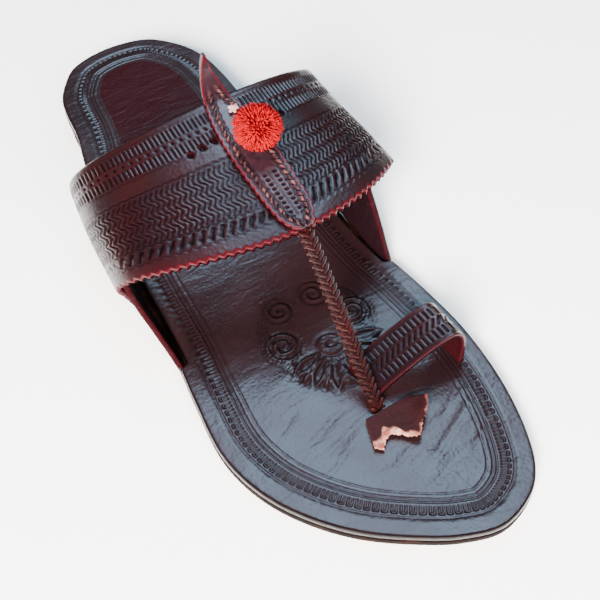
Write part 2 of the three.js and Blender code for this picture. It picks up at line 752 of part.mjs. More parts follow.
// The toe tab: the strap end in front of the post, cut ragged and curling off the insole.
function tabSolid() {
  const columns = 2 * (TAB.length - 1);
  const rows = 4;
  const rearY = THONG_HOLE_Y - THONG_THICKNESS / 2 - 1.2;
  const point = (i, j, out) => {
    const across = mix(-0.5, 0.5, i / columns);
    const reach = j / rows;
    const y = rearY - reach * TAB_LENGTH * lookUp(TAB, "across", "cut", across);
    const lift = TAB_CURL * lookUp(TAB, "across", "lift", across) * reach ** 1.5;
    return new THREE.Vector3(
      TAB_MIDDLE_X + across * TAB_WIDTH * mix(0.7, 1, reach),
      y,
      insoleTop(y) + GAP + TAB_WALL / 2 + lift + out,
    );
  };
  return sheetSolid(
    columns,
    rows,
    (i, j) => point(i, j, TAB_WALL / 2),
    (i, j) => point(i, j, -TAB_WALL / 2),
  );
}

// Finishes
const finish = (color, roughness) => new THREE.MeshStandardMaterial({ color, roughness, metalness: 0 });
const DARK_LEATHER = finish(0x2b1618, 0.4);
const INSOLE_LEATHER = finish(0x2f2326, 0.42);
const SOLE_LEATHER = finish(0x2a1d16, 0.6);
const BRAID_LEATHER = finish(0x4a1a17, 0.45);
const LEAF_LEATHER = finish(0x33202a, 0.4);
const RED_WOOL = finish(0xd0201c, 0.95);
const RAW_LEATHER = finish(0xb5866c, 0.8);

const model = new THREE.Group();
const addPiece = (name, solid, material) => {
  const mesh = new THREE.Mesh(geometryOf(solid), material);
  mesh.name = name;
  model.add(mesh);
};

addPiece("outsole", soleLayer(0, OUTSOLE_WALL), SOLE_LEATHER);
addPiece("heel", heelSolid(), SOLE_LEATHER);
addPiece("insole", insoleSolid(), INSOLE_LEATHER);
addPiece("ear_outer", earSolid(-1), DARK_LEATHER);
addPiece("ear_inner", earSolid(1), DARK_LEATHER);
addPiece("upper", upperSolid(), BRAID_LEATHER);
addPiece("leaf", leafSolid(), LEAF_LEATHER);
addPiece("pompom", pompomSolid(), RED_WOOL);
addPiece("lace_knot", knotSolid(), RAW_LEATHER);
addPiece("toe_tab", tabSolid(), RAW_LEATHER);

// The part's origin is on the floor under the middle of the whole sandal.
const footprint = new THREE.Box3().setFromObject(model);
model.position.set(
  -(footprint.min.x + footprint.max.x) / 2,
  -(footprint.min.y + footprint.max.y) / 2,
  -footprint.min.z,
);

const sandal = new THREE.Group();
sandal.add(model);

export default sandal;
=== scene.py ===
"""Looks of a Kolhapuri toe-loop sandal, right shoe: tooled oiled leather, a plaited thong and a wool pompom.

All sizes are millimetres until a mesh is made, and each mesh is written in metres in the frame's own axes:
the toe along -Y, the heel along +Y, and the inner, big-toe side along +X.
"""

import logging
import math
from dataclasses import dataclass, field
from enum import Enum
from typing import Callable, Sequence

import bmesh
import bpy
import numpy as np
from mathutils import Matrix, Vector


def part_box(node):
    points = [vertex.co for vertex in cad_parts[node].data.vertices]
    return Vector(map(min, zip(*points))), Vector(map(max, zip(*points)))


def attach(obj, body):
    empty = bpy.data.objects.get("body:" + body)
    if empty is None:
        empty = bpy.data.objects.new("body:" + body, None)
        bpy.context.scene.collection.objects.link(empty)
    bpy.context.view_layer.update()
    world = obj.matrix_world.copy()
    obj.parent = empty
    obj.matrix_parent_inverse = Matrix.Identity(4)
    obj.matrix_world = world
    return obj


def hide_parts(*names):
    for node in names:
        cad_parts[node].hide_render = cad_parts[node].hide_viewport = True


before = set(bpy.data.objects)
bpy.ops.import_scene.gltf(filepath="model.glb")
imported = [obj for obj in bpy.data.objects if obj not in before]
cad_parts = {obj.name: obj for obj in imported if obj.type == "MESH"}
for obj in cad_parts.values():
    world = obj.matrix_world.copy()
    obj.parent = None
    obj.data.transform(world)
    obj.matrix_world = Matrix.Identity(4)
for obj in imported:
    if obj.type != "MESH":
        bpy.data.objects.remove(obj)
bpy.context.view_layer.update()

LOG = logging.getLogger("sandal")
MM = 0.001
GAP = 0.3
SEED = 7
Array = np.ndarray
Surface = Callable[[Array, Array], Array]


class Side(Enum):
    """The two sides of the shoe, by the sign of X."""

    OUTER = -1
    INNER = 1


def smooth(share: Array) -> Array:
    """A soft step from 0 to 1 over a share from 0 to 1."""
    share = np.clip(share, 0.0, 1.0)
    return share * share * (3.0 - 2.0 * share)


def mix(start: Array, end: Array, share: Array) -> Array:
    """The value a share of the way from start to end."""
    return start + (end - start) * share


def linear(code: str) -> tuple[float, float, float, float]:
    """Turns an sRGB hex colour to linear light.

    Args:
        code: The colour, as six hex digits after a hash.

    Returns:
        Red, green, blue and an alpha of 1.
    """
    parts = [int(code[i : i + 2], 16) / 255.0 for i in (1, 3, 5)]
    red, green, blue = [c / 12.92 if c <= 0.04045 else ((c + 0.055) / 1.055) ** 2.4 for c in parts]
    return red, green, blue, 1.0


class Curve:
    """A smooth curve through points, read by its share of the length."""

    def __init__(self, points: Sequence[Sequence[float]], closed: bool = False, fineness: int = 40) -> None:
        """Lays a centripetal spline through the points.

        Args:
            points: The points that the curve passes.
            closed: Whether it runs back to its first point.
            fineness: Steps between two points.
        """
        knots = np.array(points, float)
        count = len(knots)
        spans = count if closed else count - 1
        shares = np.linspace(0.0, 1.0, fineness, endpoint=False)
        run = []
        for i in range(spans):
            run.append(self._span(self._four(knots, i, closed), shares))
        last = knots[0] if closed else knots[-1]
        self.line = np.vstack([*run, last[None]])
        steps = np.linalg.norm(np.diff(self.line, axis=0), axis=1)
        self.length = float(steps.sum())
        self.reached = np.concatenate([[0.0], np.cumsum(steps)]) / self.length

    @staticmethod
    def _four(knots: Array, i: int, closed: bool) -> list[Array]:
        """The four knots that shape one span, with made-up ends on an open curve."""
        count = len(knots)
        if closed:
            return [knots[(i + k) % count] for k in (-1, 0, 1, 2)]
        before = knots[i - 1] if i > 0 else 2 * knots[0] - knots[1]
        after = knots[i + 2] if i + 2 < count else 2 * knots[-1] - knots[-2]
        return [before, knots[i], knots[i + 1], after]

    @staticmethod
    def _span(four: list[Array], shares: Array) -> Array:
        """Points of one centripetal span."""
        gaps = [max(float(np.sum((four[k + 1] - four[k]) ** 2)) ** 0.25, 1e-4) for k in range(3)]
        start = (four[1] - four[0]) / gaps[0] - (four[2] - four[0]) / (gaps[0] + gaps[1])
        start = (start + (four[2] - four[1]) / gaps[1]) * gaps[1]
        end = (four[2] - four[1]) / gaps[1] - (four[3] - four[1]) / (gaps[1] + gaps[2])
        end = (end + (four[3] - four[2]) / gaps[2]) * gaps[1]
        u = shares[:, None]
        cubic = 2 * four[1] - 2 * four[2] + start + end
        square = -3 * four[1] + 3 * four[2] - 2 * start - end
        return four[1] + start * u + square * u**2 + cubic * u**3

    def at(self, share: Array) -> Array:
        """Points at shares of the curve's length, in a last axis of coordinates."""
        share = np.clip(np.asarray(share, float), 0.0, 1.0)
        return np.stack([np.interp(share, self.reached, column) for column in self.line.T], axis=-1)


@dataclass(frozen=True)
class Table:
    """A smooth table of a value along a key, from rows of (key, value)."""

    rows: tuple[tuple[float, float], ...]

    def at(self, key: Array) -> Array:
        """Values at the keys, by a uniform spline between rows."""
        keys = np.array([row[0] for row in self.rows])
        values = np.array([row[1] for row in self.rows])
        i = np.clip(np.searchsorted(keys, key, side="left") - 1, 0, len(keys) - 2)
        share = np.clip((key - keys[i]) / (keys[i + 1] - keys[i]), 0.0, 1.0)
        start, end = values[i], values[i + 1]
        before = values[np.maximum(i - 1, 0)]
        after = values[np.minimum(i + 2, len(keys) - 1)]
        inner = 2 * before - 5 * start + 4 * end - after + share * (3 * (start - end) + after - before)
        return start + 0.5 * share * (end - before + share * inner)


@dataclass
class Last:
    """The sandal's plan, sole heights and the arch of its band, as the solids have them."""

    length: float = 272.0
    ball_width: float = 94.3
    outsole_wall: float = 2.9
    insole_wall: float = 2.6
    heel_height: float = 7.8
    heel_length: float = 90.0
    heel_inset: float = 0.8
    waist_length: float = 74.0
    toe_spring: float = 2.6
    toe_spring_length: float = 36.0
    band_wall: float = 2.2
    band_foot_height: float = 2.6
    band_rear_top: float = 60.0
    band_front_top: float = 45.0
    band_rear_foot_y: float = 62.0
    band_rear_top_y: float = 24.0
    band_front_foot_y: float = 2.0
    band_front_top_y: float = -33.0
    band_ridge_x: float = -1.6
    band_sweep: float = 2.1
    outer: Table = Table((
        (0.015, 0.184), (0.048, 0.274), (0.081, 0.327), (0.114, 0.350), (0.169, 0.371), (0.243, 0.424),
        (0.324, 0.477), (0.412, 0.513), (0.5, 0.531), (0.588, 0.545), (0.665, 0.579), (0.743, 0.606),
        (0.787, 0.594), (0.831, 0.555), (0.875, 0.484), (0.919, 0.381), (0.96, 0.241), (0.985, 0.131),
    ))
    inner: Table = Table((
        (0.015, 0.187), (0.048, 0.275), (0.081, 0.325), (0.114, 0.349), (0.169, 0.356), (0.243, 0.344),
        (0.324, 0.329), (0.412, 0.331), (0.5, 0.348), (0.588, 0.361), (0.665, 0.382), (0.743, 0.391),
        (0.787, 0.383), (0.831, 0.365), (0.875, 0.335), (0.919, 0.290), (0.96, 0.225), (0.985, 0.146),
    ))
    arch: tuple[tuple[float, float], ...] = (
        (-1, 0), (-1.07, 0.2), (-1.13, 0.42), (-1.09, 0.6), (-0.93, 0.755), (-0.66, 0.87), (-0.33, 0.955),
        (0, 1), (0.36, 0.985), (0.76, 0.925), (1.1, 0.82), (1.3, 0.7), (1.31, 0.52), (1.18, 0.25), (1, 0),
    )

    def __post_init__(self) -> None:
        """Lays the outline and the arch, and finds where the frame's origin lies."""
        half = self.length / 2
        inner = [(value * self.ball_width, half - key * self.length) for key, value in self.inner.rows]
        outer = [(-value * self.ball_width, half - key * self.length) for key, value in self.outer.rows]
        self.plan = Curve([(0, half), *inner, (0, -half), *reversed(outer)], closed=True)
        self.arch_curve = Curve(self.arch, fineness=60)
        self.breast_y = half - self.heel_length
        self.ball_rear_y = self.breast_y - self.waist_length
        self.sole_wall = self.outsole_wall + GAP + self.insole_wall
        low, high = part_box("outsole")
        plan = self.plan.line
        self.shift = np.array([
            (low[0] + high[0]) / 2 / MM - (plan[:, 0].min() + plan[:, 0].max()) / 2,
            (low[1] + high[1]) / 2 / MM - (plan[:, 1].min() + plan[:, 1].max()) / 2,
            0.0,
        ])
        shares = np.linspace(0.0, 1.0, 4001)
        across = self.arch_curve.at(shares)[:, 0]
        self.ridge_around = float(shares[np.argmin(np.abs(across))])

    def lift(self, y: Array) -> Array:
        """Height of the outsole's underside."""
        waist = smooth((y - self.ball_rear_y) / self.waist_length)
        toe = np.clip((-self.length / 2 + self.toe_spring_length - y) / self.toe_spring_length, 0.0, 1.0)
        return (self.heel_height + GAP) * waist + self.toe_spring * toe * toe

    def insole_top(self, y: Array) -> Array:
        """Height of the insole's face."""
        return self.lift(y) + self.sole_wall

    def edge_reach(self, y: Array, side: Side) -> Array:
        """Reach of the sole's edge from the long axis."""
        along = (self.length / 2 - y) / self.length
        table = self.outer if side is Side.OUTER else self.inner
        return table.at(along) * self.ball_width

    def outline(self, count: int, inset: Array) -> Array:
        """Plan points of the outline, moved inwards.

        Args:
            count: Number of points round the outline.
            inset: How far each is moved inwards.

        Returns:
            The points, counted from the heel round the inner side.
        """
        shares = np.arange(count) / count
        here = self.plan.at(shares)
        step = 0.5 / count
        along = self.plan.at((shares + step) % 1.0) - self.plan.at((shares - step) % 1.0)
        along /= np.linalg.norm(along, axis=1)[:, None]
        # The outline runs clockwise seen from above, so inwards is to the right of its run.
        inwards = np.stack([along[:, 1], -along[:, 0]], axis=-1)
        return here + inwards * np.broadcast_to(inset, (count,))[:, None]

    def ridge_height(self, y: Array) -> Array:
        """Height of the middle of the band's wall at its ridge."""
        share = (y - self.band_front_top_y) / (self.band_rear_top_y - self.band_front_top_y)
        return mix(self.band_front_top, self.band_rear_top, share) - self.band_wall / 2

    def upper(self, y: Array, around: Array, out: Array = 0.0) -> Array:
        """Points of the band's surface.

        Args:
            y: Places along the sole.
            around: Shares round the arch, from the outer foot to the inner foot.
            out: Distance outwards from the middle of the wall.

        Returns:
            The points, with X, Y and Z last.
        """
        y, around, out = np.broadcast_arrays(np.asarray(y, float), around, out)
        reach = {side: self.edge_reach(y, side) + GAP + self.band_wall / 2 for side in Side}

        def place(share: Array) -> tuple[Array, Array]:
            flat = self.arch_curve.at(share)
            span_outer = reach[Side.OUTER] + self.band_ridge_x
            span_inner = reach[Side.INNER] - self.band_ridge_x
            span = np.where(flat[..., 0] < 0, span_outer, span_inner)
            foot = self.band_foot_height
            return self.band_ridge_x + flat[..., 0] * span, foot + flat[..., 1] * (self.ridge_height(y) - foot)

        step = 0.02
        x, z = place(around)
        x_after, z_after = place(around + step)
        x_before, z_before = place(around - step)
        run_x, run_z = x_after - x_before, z_after - z_before
        size = np.hypot(run_x, run_z)
        return np.stack([x - run_z / size * out, y, z + run_x / size * out], axis=-1)

    def rear_y(self, around: Array) -> Array:
        """Place of the band's rear edge."""
        return mix(self.band_rear_foot_y, self.band_rear_top_y, self.arch_curve.at(around)[..., 1])

    def front_y(self, around: Array) -> Array:
        """Place of the band's front edge."""
        up = np.maximum(self.arch_curve.at(around)[..., 1], 0.0)
        return mix(self.band_front_foot_y, self.band_front_top_y, up**self.band_sweep)

    def around_at(self, y: Array, offset: Array) -> Array:
        """Share round the arch that lies at an offset from the ridge, near the top of the band."""
        low = np.full(np.broadcast(y, offset).shape, 0.2)
        high = np.full_like(low, 0.8)
        for _ in range(26):
            middle = (low + high) / 2
            short = self.upper(y, middle)[..., 0] < self.band_ridge_x + offset
            low = np.where(short, middle, low)
            high = np.where(short, high, middle)
        return (low + high) / 2


@dataclass
class Relief:
    """Hand tooling pressed into leather, gathered as a depth from 0 to 1 over a surface."""

    along: Array
    across: Array
    softness: float = 0.22
    depth: Array = field(init=False)

    def __post_init__(self) -> None:
        """Starts with plain leather."""
        self.depth = np.zeros(np.broadcast(self.along, self.across).shape)

    def _inside(self, distance: Array) -> Array:
        """1 within a mark's edge and 0 outside, from a distance that is negative inside."""
        return smooth(0.5 - distance / (2 * self.softness))

    def press(self, mark: Array, strength: float = 1.0) -> None:
        """Adds a mark where it goes deeper than what is there."""
        self.depth = np.maximum(self.depth, mark * strength)

    def line(self, at: float, width: float = 0.6, strength: float = 0.8) -> None:
        """Presses a line along the surface."""
        self.press(self._inside(np.abs(self.across - at) - width / 2), strength)

    def marks(self, start: float, end: float, pitch: float, width: float, slope: float = 0.0,
              fold: float = 0.0, strength: float = 1.0, within: Array | float = 1.0) -> None:
        """Presses a row of like marks.

        Args:
            start: Where the row starts across the surface.
            end: Where it ends.
            pitch: Distance between two marks along the row.
            width: Width of one mark.
            slope: Lean of the marks along the row.
            fold: Lean away from the row's middle, which makes chevrons.
            strength: Depth of the marks.
            within: Share of the depth that is kept at each place.
        """
        middle = (start + end) / 2
        shifted = self.along + slope * (self.across - middle) + fold * np.abs(self.across - middle)
        beside = np.abs(shifted / pitch - np.round(shifted / pitch)) * pitch - width / 2
        outside = np.abs(self.across - middle) - (end - start) / 2
        self.press(self._inside(beside) * self._inside(outside) * within, strength)

    def dots(self, at: float, pitch: float, radius: float, strength: float = 1.0) -> None:
        """Presses a row of round dots."""
        beside = (self.along / pitch - np.round(self.along / pitch)) * pitch
        self.press(self._inside(np.hypot(beside, self.across - at) - radius), strength)

    def stroke(self, x: Array, y: Array, points: Array, width: float, strength: float = 1.0) -> None:
        """Presses a stroke along a line of plan points, thinner towards its ends.

        Args:
            x: Plan places of the surface.
            y: Plan places of the surface.
            points: Close points along the stroke.
            width: Its width in the middle.
            strength: Its depth.
        """
        margin = 2 * width
        low, high = points.min(axis=0) - margin, points.max(axis=0) + margin
        near = np.nonzero((x > low[0]) & (x < high[0]) & (y > low[1]) & (y < high[1]))
        if not near[0].size:
            return
        share = np.linspace(-1.0, 1.0, len(points))
        taper = np.maximum(1.0 - share**4, 0.25) * width / 2
        gap = np.hypot(x[near][:, None] - points[None, :, 0], y[near][:, None] - points[None, :, 1])
        mark = self._inside((gap - taper[None]).min(axis=1))
        self.depth[near] = np.maximum(self.depth[near], mark * strength)


class Shell:
    """Makes closed walls from two grids of points."""

    def __init__(self, last: Last) -> None:
        """Keeps the shift from the sandal's own origin to the frame's."""
        self.last = last

    def _grid(self, work: bmesh.types.BMesh, columns: int, rows: int, points: Array) -> list[bmesh.types.BMVert]:
        """Adds one grid and moves its corners to the points."""
        made = bmesh.ops.create_grid(work, x_segments=columns, y_segments=rows, size=0.5)["verts"]
        made.sort(key=lambda corner: (round(corner.co.x, 7), round(corner.co.y, 7)))
        flat = (points.reshape(-1, 3) + self.last.shift) * MM
        for corner, place in zip(made, flat):
            corner.co = place
        return made

    def wall(self, name: str, front: Array, back: Array, fields: dict[str, Array] | None = None) -> bpy.types.Object:
        """A closed wall between a face grid and a back grid.

        Args:
            name: The object's name.
            front: Face points, columns by rows by 3.
            back: Back points of the same count.
            fields: Values from 0 to 1 on the face's points, kept as attributes.

        Returns:
            The object, smooth shaded, with its faces out.
        """
        columns, rows = front.shape[0] - 1, front.shape[1] - 1
        work = bmesh.new()
        layers = {key: work.verts.layers.float.new(key) for key in (fields or {})}
        face_verts = self._grid(work, columns, rows, front)
        back_verts = self._grid(work, columns, rows, back)
        for key, layer in layers.items():
            for corners, kept in ((face_verts, 1.0), (back_verts, 0.35)):
                for corner, value in zip(corners, fields[key].reshape(-1)):
                    corner[layer] = float(value) * kept
        rims = [edge for edge in work.edges if len(edge.link_faces) == 1]
        bmesh.ops.bridge_loops(work, edges=rims)
        bmesh.ops.recalc_face_normals(work, faces=work.faces)
        if work.calc_volume(signed=True) < 0:
            bmesh.ops.reverse_faces(work, faces=work.faces)
        return self.finish(name, work)

    def slab(self, name: str, rings: list[Array], fields: dict[str, list[Array]] | None = None,
             cut_y: float | None = None) -> bpy.types.Object:
        """A closed slab from rings of points that run from the underside's middle to the top's middle.

        Args:
            name: The object's name.
            rings: Rings of points, each the same count; the first and last fold flat on the middle line.
            fields: Values from 0 to 1 for each ring's points, kept as attributes.
            cut_y: Where the toe side is cut off, if it is.

        Returns:
            The object, smooth shaded, with its faces out.
        """
        stack = np.stack(rings, axis=1)
        stack = np.concatenate([stack, stack[:1]], axis=0)
        work = bmesh.new()
        layers = {key: work.verts.layers.float.new(key) for key in (fields or {})}
        corners = self._grid(work, stack.shape[0] - 1, stack.shape[1] - 1, stack)
        for key, layer in layers.items():
            values = np.stack(fields[key], axis=1)
            values = np.concatenate([values, values[:1]], axis=0)
            for corner, value in zip(corners, values.reshape(-1)):
                corner[layer] = float(value)
        bmesh.ops.remove_doubles(work, verts=work.verts, dist=1e-6)
        bmesh.ops.dissolve_degenerate(work, edges=work.edges, dist=1e-7)
        if cut_y is not None:
            where = (cut_y + self.last.shift[1]) * MM
            geometry = [*work.verts, *work.edges, *work.faces]
            bmesh.ops.bisect_plane(
                work, geom=geometry, plane_co=(0, where, 0), plane_no=(0, -1, 0), clear_outer=True
            )
            bmesh.ops.holes_fill(work, edges=[edge for edge in work.edges if len(edge.link_faces) == 1])
        bmesh.ops.recalc_face_normals(work, faces=work.faces)
        if work.calc_volume(signed=True) < 0:
            bmesh.ops.reverse_faces(work, faces=work.faces)
        return self.finish(name, work)

    def finish(self, name: str, work: bmesh.types.BMesh) -> bpy.types.Object:
        """Writes a bmesh to a new smooth-shaded object that rides on the sandal."""
        mesh = bpy.data.meshes.new(name)
        for face in work.faces:
            face.smooth = True
        work.to_mesh(mesh)
        work.free()
        piece = bpy.data.objects.new(name, mesh)
        bpy.context.scene.collection.objects.link(piece)
        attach(piece, "root")
        triangles = sum(len(face.vertices) - 2 for face in mesh.polygons)
        LOG.info("%s: %d triangles", name, triangles)
        return piece


class Graph:
    """A material's node tree, with one function that adds a node."""

    def __init__(self, name: str) -> None:
        """Starts a material with its shader and output."""
        self.material = bpy.data.materials.new(name)
        self.material.use_nodes = True
        self.tree = self.material.node_tree
        self.shader = self.tree.nodes["Principled BSDF"]

    def add(self, kind: str, links: dict[str | int, object] | None = None, **settings: object) -> bpy.types.Node:
        """Adds a node with its settings and links.

        Args:
            kind: The node's type.
            links: For each input, the output that feeds it or the value that it holds.
            settings: The node's own options.

        Returns:
            The node.
        """
        node = self.tree.nodes.new(kind)
        for key, value in settings.items():
            setattr(node, key, value)
        for key, value in (links or {}).items():
            if isinstance(value, bpy.types.NodeSocket):
                self.tree.links.new(value, node.inputs[key])
            else:
                node.inputs[key].default_value = value
        return node

    def feed(self, socket: str, output: bpy.types.NodeSocket) -> None:
        """Links an output to the shader."""
        self.tree.links.new(output, self.shader.inputs[socket])


@dataclass(frozen=True)
class Leather:
    """Vegetable-tanned hide, dyed dark and oiled, so that it shines where it is smooth."""

    name: str
    flesh: str
    shade: str
    groove: str
    dye: str = "#8c1420"
    wear_and_sheen_tint: str = "#6d2a1e"
    roughness: float = 0.34
    rough_spread: float = 0.16
    coat: float = 0.25
    grain_mm: float = 1.1
    grain_height: float = 0.10
    crease_mm: float = 7.0
    crease_height: float = 0.12
    cloud_mm: float = 22.0
    dyed_gloss: float = 0.25

    def build(self) -> bpy.types.Material:
        """Makes the material: clouded dye, dark tooling, red edges, grain and creases.

        Returns:
            The material, which reads the piece's attributes for tone, dye and a pale tint, which on the leaf is
            painted highlight and sheen.
        """
        graph = Graph(self.name)
        spot = graph.add("ShaderNodeTexCoord").outputs["Object"]
        cloud = graph.add("ShaderNodeTexNoise", {"Vector": spot, "Scale": 1 / (self.cloud_mm * MM), "Detail": 5.0})
        base = graph.add("ShaderNodeMix", {
            0: graph.add("ShaderNodeMapRange", {0: cloud.outputs[0], 1: 0.35, 2: 0.65}).outputs[0],
            6: linear(self.flesh), 7: linear(self.shade),
        }, data_type="RGBA")
        fleck = graph.add("ShaderNodeTexNoise", {"Vector": spot, "Scale": 1 / (2.2 * MM), "Detail": 3.0})
        # A paler tint from an attribute: the piece's real marks, and on the leaf also a painted highlight on its
        # lacing and a painted sheen along its middle.
        wear_and_sheen = graph.add("ShaderNodeAttribute", attribute_name="wear_and_sheen").outputs["Fac"]
        wear_and_sheen_share = graph.add("ShaderNodeMath", {
            0: wear_and_sheen, 1: graph.add("ShaderNodeMapRange", {0: fleck.outputs[0], 1: 0.42, 2: 0.62}).outputs[0],
        }, operation="MULTIPLY").outputs[0]
        wear_and_sheen_tint = graph.add("ShaderNodeMix", {0: wear_and_sheen_share, 6: base.outputs[2], 7: linear(self.wear_and_sheen_tint)}, data_type="RGBA")
        dye = graph.add("ShaderNodeAttribute", attribute_name="dye").outputs["Fac"]
        dyed = graph.add("ShaderNodeMix", {0: dye, 6: wear_and_sheen_tint.outputs[2], 7: linear(self.dye)}, data_type="RGBA")
        tone = graph.add("ShaderNodeAttribute", attribute_name="tone").outputs["Fac"]
        deep = graph.add("ShaderNodeMix", {0: tone, 6: dyed.outputs[2], 7: linear(self.groove)}, data_type="RGBA")
        graph.feed("Base Color", deep.outputs[2])
        graph.feed("Roughness", graph.add("ShaderNodeMapRange", {
            0: cloud.outputs[0], 1: 0.3, 2: 0.7,
            3: self.roughness - self.rough_spread / 2, 4: self.roughness + self.rough_spread / 2,
        }).outputs[0])
        dyed_gloss = graph.add("ShaderNodeMapRange", {0: dye, 3: 0.5, 4: self.dyed_gloss})
        gloss = graph.add("ShaderNodeMath", {
            0: dyed_gloss.outputs[0], 1: graph.add("ShaderNodeMapRange", {0: tone, 3: 1.0, 4: 0.3}).outputs[0],
        }, operation="MULTIPLY")
        graph.feed("Specular IOR Level", gloss.outputs[0])
        graph.shader.inputs["Coat Weight"].default_value = self.coat
        graph.shader.inputs["Coat Roughness"].default_value = 0.22
        grain = graph.add("ShaderNodeTexVoronoi", {"Vector": spot, "Scale": 1 / (self.grain_mm * MM)},
                          feature="SMOOTH_F1")
        fine = graph.add("ShaderNodeBump", {
            "Height": grain.outputs["Distance"], "Strength": 0.6, "Distance": self.grain_height * MM,
        })
        # Creases run across the foot, so the pattern is drawn out along X.
        drawn = graph.add("ShaderNodeMapping", {"Vector": spot, "Scale": (0.35, 1.0, 1.0)}).outputs[0]
        crease = graph.add("ShaderNodeTexNoise", {
            "Vector": drawn, "Scale": 1 / (self.crease_mm * MM), "Detail": 6.0, "Distortion": 0.8,
        })
        coarse = graph.add("ShaderNodeBump", {
            "Height": crease.outputs[0], "Strength": 0.7, "Distance": self.crease_height * 8 * MM,
            "Normal": fine.outputs[0],
        })
        graph.feed("Normal", coarse.outputs[0])
        return graph.material


@dataclass(frozen=True)
class CutEdge:
    """Layers of hide seen at a trimmed edge: burnished brown with paler fibre streaks."""

    name: str
    burnished: str
    fibre: str
    layer_mm: float = 1.3
    roughness: float = 0.6
    gloss: float = 0.04

    def build(self) -> bpy.types.Material:
        """Makes the material: thin level streaks, with a rubbed dark skin over them."""
        graph = Graph(self.name)
        spot = graph.add("ShaderNodeTexCoord").outputs["Object"]
        level = graph.add("ShaderNodeMapping", {"Vector": spot, "Scale": (0.12, 0.12, 1.0)}).outputs[0]
        streak = graph.add("ShaderNodeTexNoise", {"Vector": level, "Scale": 1 / (self.layer_mm * MM), "Detail": 4.0})
        patch = graph.add("ShaderNodeTexNoise", {"Vector": spot, "Scale": 1 / (14 * MM), "Detail": 3.0})
        share = graph.add("ShaderNodeMath", {
            0: graph.add("ShaderNodeMapRange", {0: streak.outputs[0], 1: 0.5, 2: 0.7}).outputs[0],
            1: graph.add("ShaderNodeMapRange", {0: patch.outputs[0], 1: 0.4, 2: 0.65}).outputs[0],
        }, operation="MULTIPLY").outputs[0]
        colour = graph.add("ShaderNodeMix", {0: share, 6: linear(self.burnished), 7: linear(self.fibre)},
                           data_type="RGBA")
        graph.feed("Base Color", colour.outputs[2])
        graph.shader.inputs["Roughness"].default_value = self.roughness
        graph.shader.inputs["Specular IOR Level"].default_value = self.gloss
        bump = graph.add("ShaderNodeBump", {"Height": streak.outputs[0], "Strength": 0.5, "Distance": 0.25 * MM})
        graph.feed("Normal", bump.outputs[0])
        return graph.material


@dataclass(frozen=True)
class Wool:
    """Dyed wool yarn, cut short: matt, with a soft fringe of fibres, and painted shade that darkens the core and the
    strands' roots.
    """

    name: str
    bright: str
    deep: str

    def build(self) -> bpy.types.Material:
        """Makes the material: the core and the strands' roots painted darker than the tips, as shade."""
        graph = Graph(self.name)
        spot = graph.add("ShaderNodeTexCoord").outputs["Object"]
        tuft = graph.add("ShaderNodeTexNoise", {"Vector": spot, "Scale": 1 / (2.6 * MM), "Detail": 2.0})
        # The tone attribute marks painted shade: it is low on the core and the strands' roots, which take the deep
        # red.
        tip = graph.add("ShaderNodeAttribute", attribute_name="tone").outputs["Fac"]
        share = graph.add("ShaderNodeMath", {
            0: tip, 1: graph.add("ShaderNodeMapRange", {0: tuft.outputs[0], 1: 0.3, 2: 0.6, 3: 0.45}).outputs[0],
        }, operation="MULTIPLY").outputs[0]
        colour = graph.add("ShaderNodeMix", {0: share, 6: linear(self.deep), 7: linear(self.bright)},
                           data_type="RGBA")
        graph.feed("Base Color", colour.outputs[2])
        graph.shader.inputs["Roughness"].default_value = 0.9
        graph.shader.inputs["Specular IOR Level"].default_value = 0.08
        return graph.material


def dress(piece: bpy.types.Object, finish: bpy.types.Material) -> None:
    """Gives a piece its one material."""
    piece.data.materials.clear()
    piece.data.materials.append(finish)


@dataclass
class Finishes:
    """The sandal's materials, each made once."""

    insole: bpy.types.Material = field(default_factory=lambda: Leather(
        "oiled_tooled_buffalo_hide", "#12090b", "#180c0e", "#040202", dye="#1a0508", wear_and_sheen_tint="#1c0c0a", crease_mm=4.5,
        crease_height=0.045, coat=0.0, dyed_gloss=0.12, roughness=0.3, rough_spread=0.12,
    ).build())
    band: bpy.types.Material = field(default_factory=lambda: Leather(
        "oiled_stamped_maroon_hide", "#170607", "#0f0507", "#040102", dye="#30040a", wear_and_sheen_tint="#301010",
        crease_height=0.05, coat=0.0,
    ).build())
    # The leaf's pale tint is a painted highlight on its lacing and a painted sheen along its middle.
    leaf: bpy.types.Material = field(default_factory=lambda: Leather(
        "laced_leaf_hide", "#1c0d11", "#150c12", "#050203", dye="#36050c", wear_and_sheen_tint="#5a3634", crease_height=0.06,
        grain_height=0.14, coat=0.1,
    ).build())
    ear: bpy.types.Material = field(default_factory=lambda: Leather(
        "dark_flap_hide", "#160709", "#10070a", "#040202", dye="#30040a", wear_and_sheen_tint="#301010", crease_height=0.2,
        roughness=0.4, coat=0.1,
    ).build())
    plait: bpy.types.Material = field(default_factory=lambda: Leather(
        "plaited_goat_hide", "#1e0606", "#130404", "#080202", wear_and_sheen_tint="#34160f", crease_height=0.03,
        grain_mm=0.7, roughness=0.42, coat=0.0,
    ).build())
    raw: bpy.types.Material = field(default_factory=lambda: Leather(
        "raw_cut_hide", "#8e5f52", "#5c2a24", "#1c0a0b", dye="#4e0e0e", wear_and_sheen_tint="#b8917f", roughness=0.6,
        coat=0.0, grain_height=0.2,
    ).build())
    knot: bpy.types.Material = field(default_factory=lambda: Leather(
        "pale_rawhide_lace", "#9c7a76", "#7e5654", "#40201f", wear_and_sheen_tint="#b8a096", roughness=0.5, coat=0.1,
    ).build())
    edge: bpy.types.Material = field(default_factory=lambda: CutEdge(
        "burnished_sole_hide", "#0b0605", "#2c180e",
    ).build())
    heel: bpy.types.Material = field(default_factory=lambda: CutEdge(
        "stacked_heel_hide", "#0b0605", "#26150c", layer_mm=1.0,
    ).build())
    # The pompom's second, darker red is painted shade for its core and its strands' roots.
    wool: bpy.types.Material = field(default_factory=lambda: Wool(
        "red_cut_wool_with_painted_root_shade", "#80070e", "#2a0204",
    ).build())


